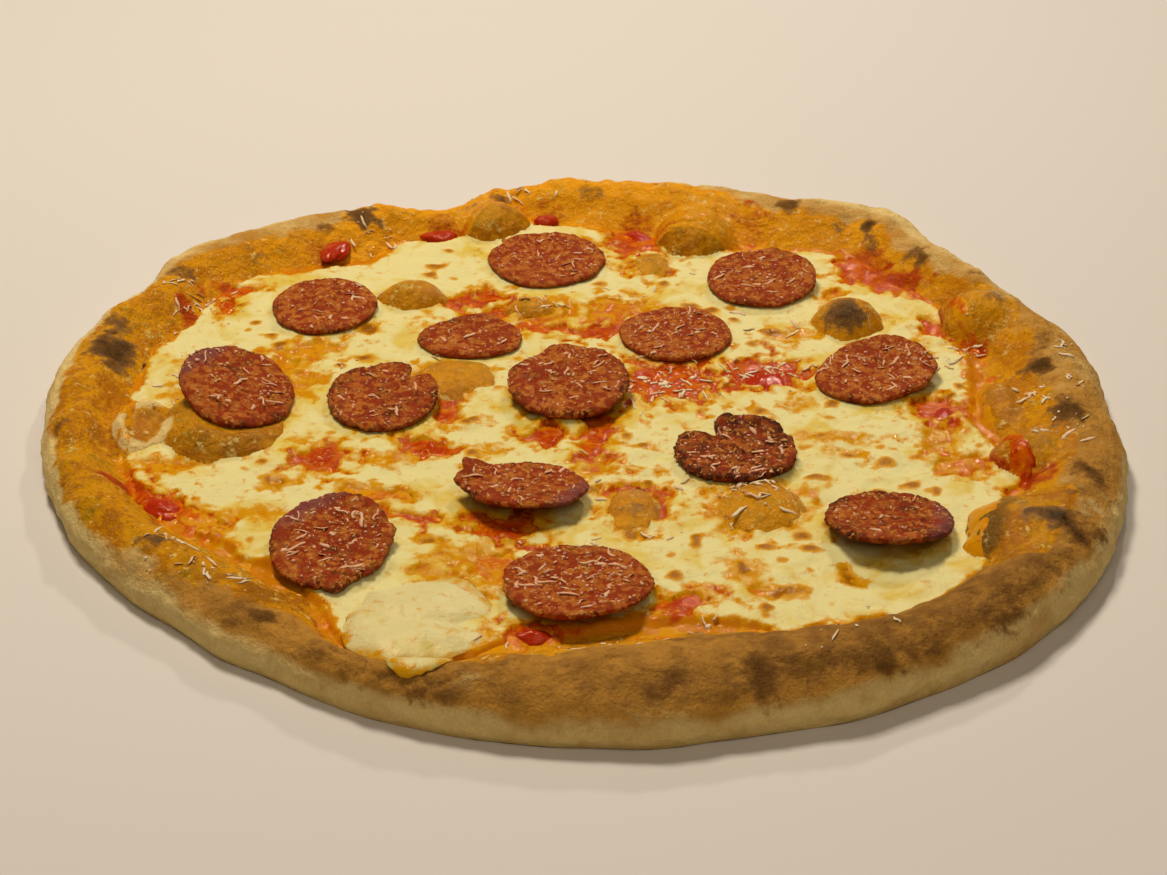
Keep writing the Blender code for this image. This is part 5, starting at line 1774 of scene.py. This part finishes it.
@dataclass
class GratedCheese:
    """Shreds and crumbs of hard cheese, each lying on what is under it."""

    stations: int = 7
    length: tuple[float, float] = (1.6, 6.6)
    width: tuple[float, float] = (0.5, 1.15)
    thick: float = 0.3
    bend: float = 0.55
    most_gap: float = 2.0
    cliff: float = 0.9
    stiff: float = 0.4
    crumb: tuple[float, float] = (0.22, 0.55)
    seed: int = 5
    finish: GratedHardCheese = GratedHardCheese()

    @staticmethod
    def on_slice(form: SliceForm, draw: np.random.Generator, spread: float) -> tuple[float, float]:
        """Draws a place on a slice, within the root of spread as a share of its radius."""
        away, turn = math.sqrt(draw.uniform(0, spread)), draw.uniform(0, 2 * math.pi)
        return form.x + away * form.across * math.cos(turn), form.y + away * form.deep * math.sin(turn)

    def middles(self, draw: np.random.Generator) -> Array:
        """Draws the middles of the shreds: on each slice, in the clusters and along the rim.

        Args:
            draw: The seeded draw.

        Returns:
            An array of places.
        """
        spots = []
        for form in SLICES:
            spots += [self.on_slice(form, draw, 0.8) for _ in range(form.grated)]
        for x, y, half_length, half_width, turn, count in SHRED_CLUSTERS:
            for _ in range(count):
                side_x, side_y = rotated(*(draw.normal(0, 0.5, 2) * (half_length, half_width)), turn)
                spots.append((x + side_x, y + side_y))
        return np.array(spots)

    @staticmethod
    def warmed(places: Array) -> Array:
        """1 where grated cheese lies on hot meat and softened, else 0."""
        x, y, _ = places.reshape(-1, 3).T
        return np.max([surface.inside(x, y)[0] < 1 for surface in SLICE_SURFACES], axis=0).astype(float)

    @staticmethod
    def copies(body: Body, name: str, count: int) -> bpy.types.Mesh:
        """Repeats a small body in one mesh.

        Args:
            body: The body, freed here.
            name: Name of the mesh.
            count: Number of copies.

        Returns:
            A mesh with the copies one after another.
        """
        mesh = as_mesh(name, body)
        holder = put(name, mesh)
        array = holder.modifiers.new("copies", "ARRAY")
        array.count = count
        array.use_merge_vertices = False
        array.relative_offset_displace = (0, 0, 0)
        graph = bpy.context.evaluated_depsgraph_get()
        repeated = bpy.data.meshes.new_from_object(holder.evaluated_get(graph))
        bpy.data.objects.remove(holder)
        bpy.data.meshes.remove(mesh)
        repeated.name = name
        return repeated

    def shreds(self, draw: np.random.Generator) -> None:
        """Builds and dresses the shreds.

        Args:
            draw: The seeded draw.
        """
        middles = self.middles(draw)
        count = len(middles)
        body = bmesh.new()
        bmesh.ops.create_cube(body, size=1)
        for cut in range(1, self.stations - 1):
            everything = body.verts[:] + body.edges[:] + body.faces[:]
            across = (cut / (self.stations - 1) - 0.5, 0, 0)
            bmesh.ops.bisect_plane(body, geom=everything, plane_co=across, plane_no=(1, 0, 0))
        mesh = self.copies(body, "grated_shreds", count)
        unit = places_of(mesh).reshape(count, -1, 3)
        length = draw.uniform(*self.length, count) * draw.uniform(0.5, 1.1, count)
        heading = draw.uniform(0, 2 * math.pi, count)
        hook = draw.normal(0, self.bend, count)
        second = draw.normal(0, self.bend * 0.4, count)
        steps = np.linspace(-0.5, 0.5, self.stations)
        ahead = steps * length[:, None]
        aside = hook[:, None] * (0.5 - 2 * steps**2) + second[:, None] * np.sin(2 * math.pi * steps)
        cos, sin = np.cos(heading)[:, None], np.sin(heading)[:, None]
        line_x = middles[:, 0, None] + ahead * cos - aside * sin
        line_y = middles[:, 1, None] + ahead * sin + aside * cos
        ground = TOPPING.surface(line_x.ravel(), line_y.ravel()).reshape(count, -1)
        ground = ground + draw.uniform(0.0, 0.2, count)[:, None]
        chord = ground[:, :1] + (ground[:, -1:] - ground[:, :1]) * (steps + 0.5)
        line_z = np.maximum(ground, np.minimum(chord, ground + self.most_gap))
        middle = ground[:, self.stations // 2, None]
        cliff = np.abs(np.diff(ground, axis=1)).max(axis=1)[:, None] > self.cliff
        line_z = np.where(cliff, np.clip(line_z, middle - self.stiff, middle + self.stiff), line_z)
        station = np.rint((unit[:, :, 0] + 0.5) * (self.stations - 1)).astype(int)
        row = np.arange(count)[:, None]
        torn = draw.uniform(0.55, 1.15, (count, self.stations))
        slim = draw.uniform(*self.width, count)[:, None] * torn[row, station]
        slim = slim * (1 - 0.5 * (2 * np.abs(steps[station])) ** 3)
        tilt = draw.normal(0, 0.35, count)[:, None]
        level = unit[:, :, 1] * slim
        rise = unit[:, :, 2] * self.thick * (0.6 + 0.4 * slim)
        x, y = line_x[row, station] - sin * level, line_y[row, station] + cos * level
        z = line_z[row, station] + self.thick * 0.35 + rise + level * tilt
        places = np.stack([x, y, z], axis=-1)
        mesh.vertices.foreach_set("co", places.astype(np.float32).ravel())
        dress(mesh, self.finish, (), {"warm": self.warmed(places)})

    def crumbs(self, draw: np.random.Generator) -> None:
        """Builds and dresses the crumbs.

        Args:
            draw: The seeded draw.
        """
        spots = []
        for form in SLICES:
            spots += [self.on_slice(form, draw, 0.9) for _ in range(form.crumbs)]
        for x, y, half_length, half_width, _, number in SHRED_CLUSTERS:
            for _ in range(number):
                spots.append((x + draw.normal(0, 0.6) * half_length, y + draw.normal(0, 0.6) * half_width))
        middles = np.array(spots)
        count = len(middles)
        body = bmesh.new()
        bmesh.ops.create_icosphere(body, subdivisions=1, radius=1)
        mesh = self.copies(body, "grated_crumbs", count)
        unit = places_of(mesh).reshape(count, -1, 3)
        size = draw.uniform(*self.crumb, (count, 1, 1)) * draw.uniform(0.5, 1.5, (count, 1, 3))
        ground = TOPPING.surface(middles[:, 0], middles[:, 1])
        centre = np.stack([middles[:, 0], middles[:, 1], ground + 0.05], axis=-1)
        places = centre[:, None, :] + unit * size * draw.uniform(0.7, 1.2, unit.shape[:2])[:, :, None]
        mesh.vertices.foreach_set("co", places.astype(np.float32).ravel())
        dress(mesh, self.finish, (), {"warm": self.warmed(places)})

    def build(self) -> None:
        """Builds the shreds and the crumbs."""
        draw = np.random.default_rng(self.seed)
        self.shreds(draw)
        self.crumbs(draw)


class LightRole(Enum):
    """What each lamp of the studio does."""

    KEY = "key"
    BACK = "back"
    FILL = "fill"


@dataclass(frozen=True)
class Lamp:
    """One soft lamp that faces the pizza."""

    role: LightRole
    place: tuple[float, float, float]
    size: float
    power: float
    tint: str


@dataclass
class Studio:
    """The pale floor, the soft lamps and the camera at the photo's angle."""

    floor_half: float = 4.0
    lens: float = 68.82
    distance: float = 0.7
    elevation: float = 31.59
    target: tuple[float, float, float] = (0.00176, -0.00896, 0.0)
    sky: str = "#ffdcae"
    sky_strength: float = 0.08
    lamps: tuple[Lamp, ...] = (
        Lamp(LightRole.KEY, (-0.24, 0.40, 1.05), 0.25, 9.7, "#fff0de"),
        Lamp(LightRole.BACK, (0.30, 0.95, 0.8), 0.08, 3.6, "#fff4e6"),
        Lamp(LightRole.FILL, (0.1, -0.7, 0.85), 0.7, 2.4, "#fff2e0"),
    )

    def floor(self) -> None:
        """Builds the floor."""
        body = bmesh.new()
        bmesh.ops.create_grid(body, x_segments=1, y_segments=1, size=self.floor_half)
        mesh = as_mesh("studio_floor", body)
        mesh.materials.append(material_of(StudioFloor()))
        put("studio_floor", mesh)

    def lights(self) -> None:
        """Hangs the lamps and sets the sky."""
        for lamp in self.lamps:
            light = bpy.data.lights.new(lamp.role.value, "AREA")
            light.size = lamp.size
            light.energy = lamp.power
            light.color = colour(lamp.tint)[:3]
            holder = put(lamp.role.value, light)
            holder.location = lamp.place
            holder.rotation_euler = (-Vector(lamp.place)).to_track_quat("-Z", "Y").to_euler()
        world = bpy.data.worlds.new("studio_sky")
        world.use_nodes = True
        background = world.node_tree.nodes["Background"]
        background.inputs["Color"].default_value = colour(self.sky)
        background.inputs["Strength"].default_value = self.sky_strength
        bpy.context.scene.world = world

    def camera(self) -> None:
        """Sets the camera where the photo was taken from."""
        camera = bpy.data.cameras.new("camera")
        camera.lens = self.lens
        holder = put("camera", camera)
        rise = math.radians(self.elevation)
        back = Vector((0, -math.cos(rise), math.sin(rise)))
        holder.location = Vector(self.target) + back * self.distance
        holder.rotation_euler = (-back).to_track_quat("-Z", "Y").to_euler()
        bpy.context.scene.camera = holder

    def build(self) -> None:
        """Builds the studio."""
        self.floor()
        self.lights()
        self.camera()
        bpy.context.scene.view_settings.view_transform = "Standard"


def main() -> None:
    """Builds the pizza's finish and the studio."""
    logging.basicConfig(level=logging.INFO, format="%(name)s: %(message)s")
    crust = Crust()
    crust.build()
    FloorBubbles().build(crust)
    Sauce().build()
    MeltedCheese().build()
    MozzarellaPiece().build()
    PepperoniSlices().build()
    TomatoPieces().build()
    GratedCheese().build()
    Studio().build()


if __name__ == "__main__":
    main()
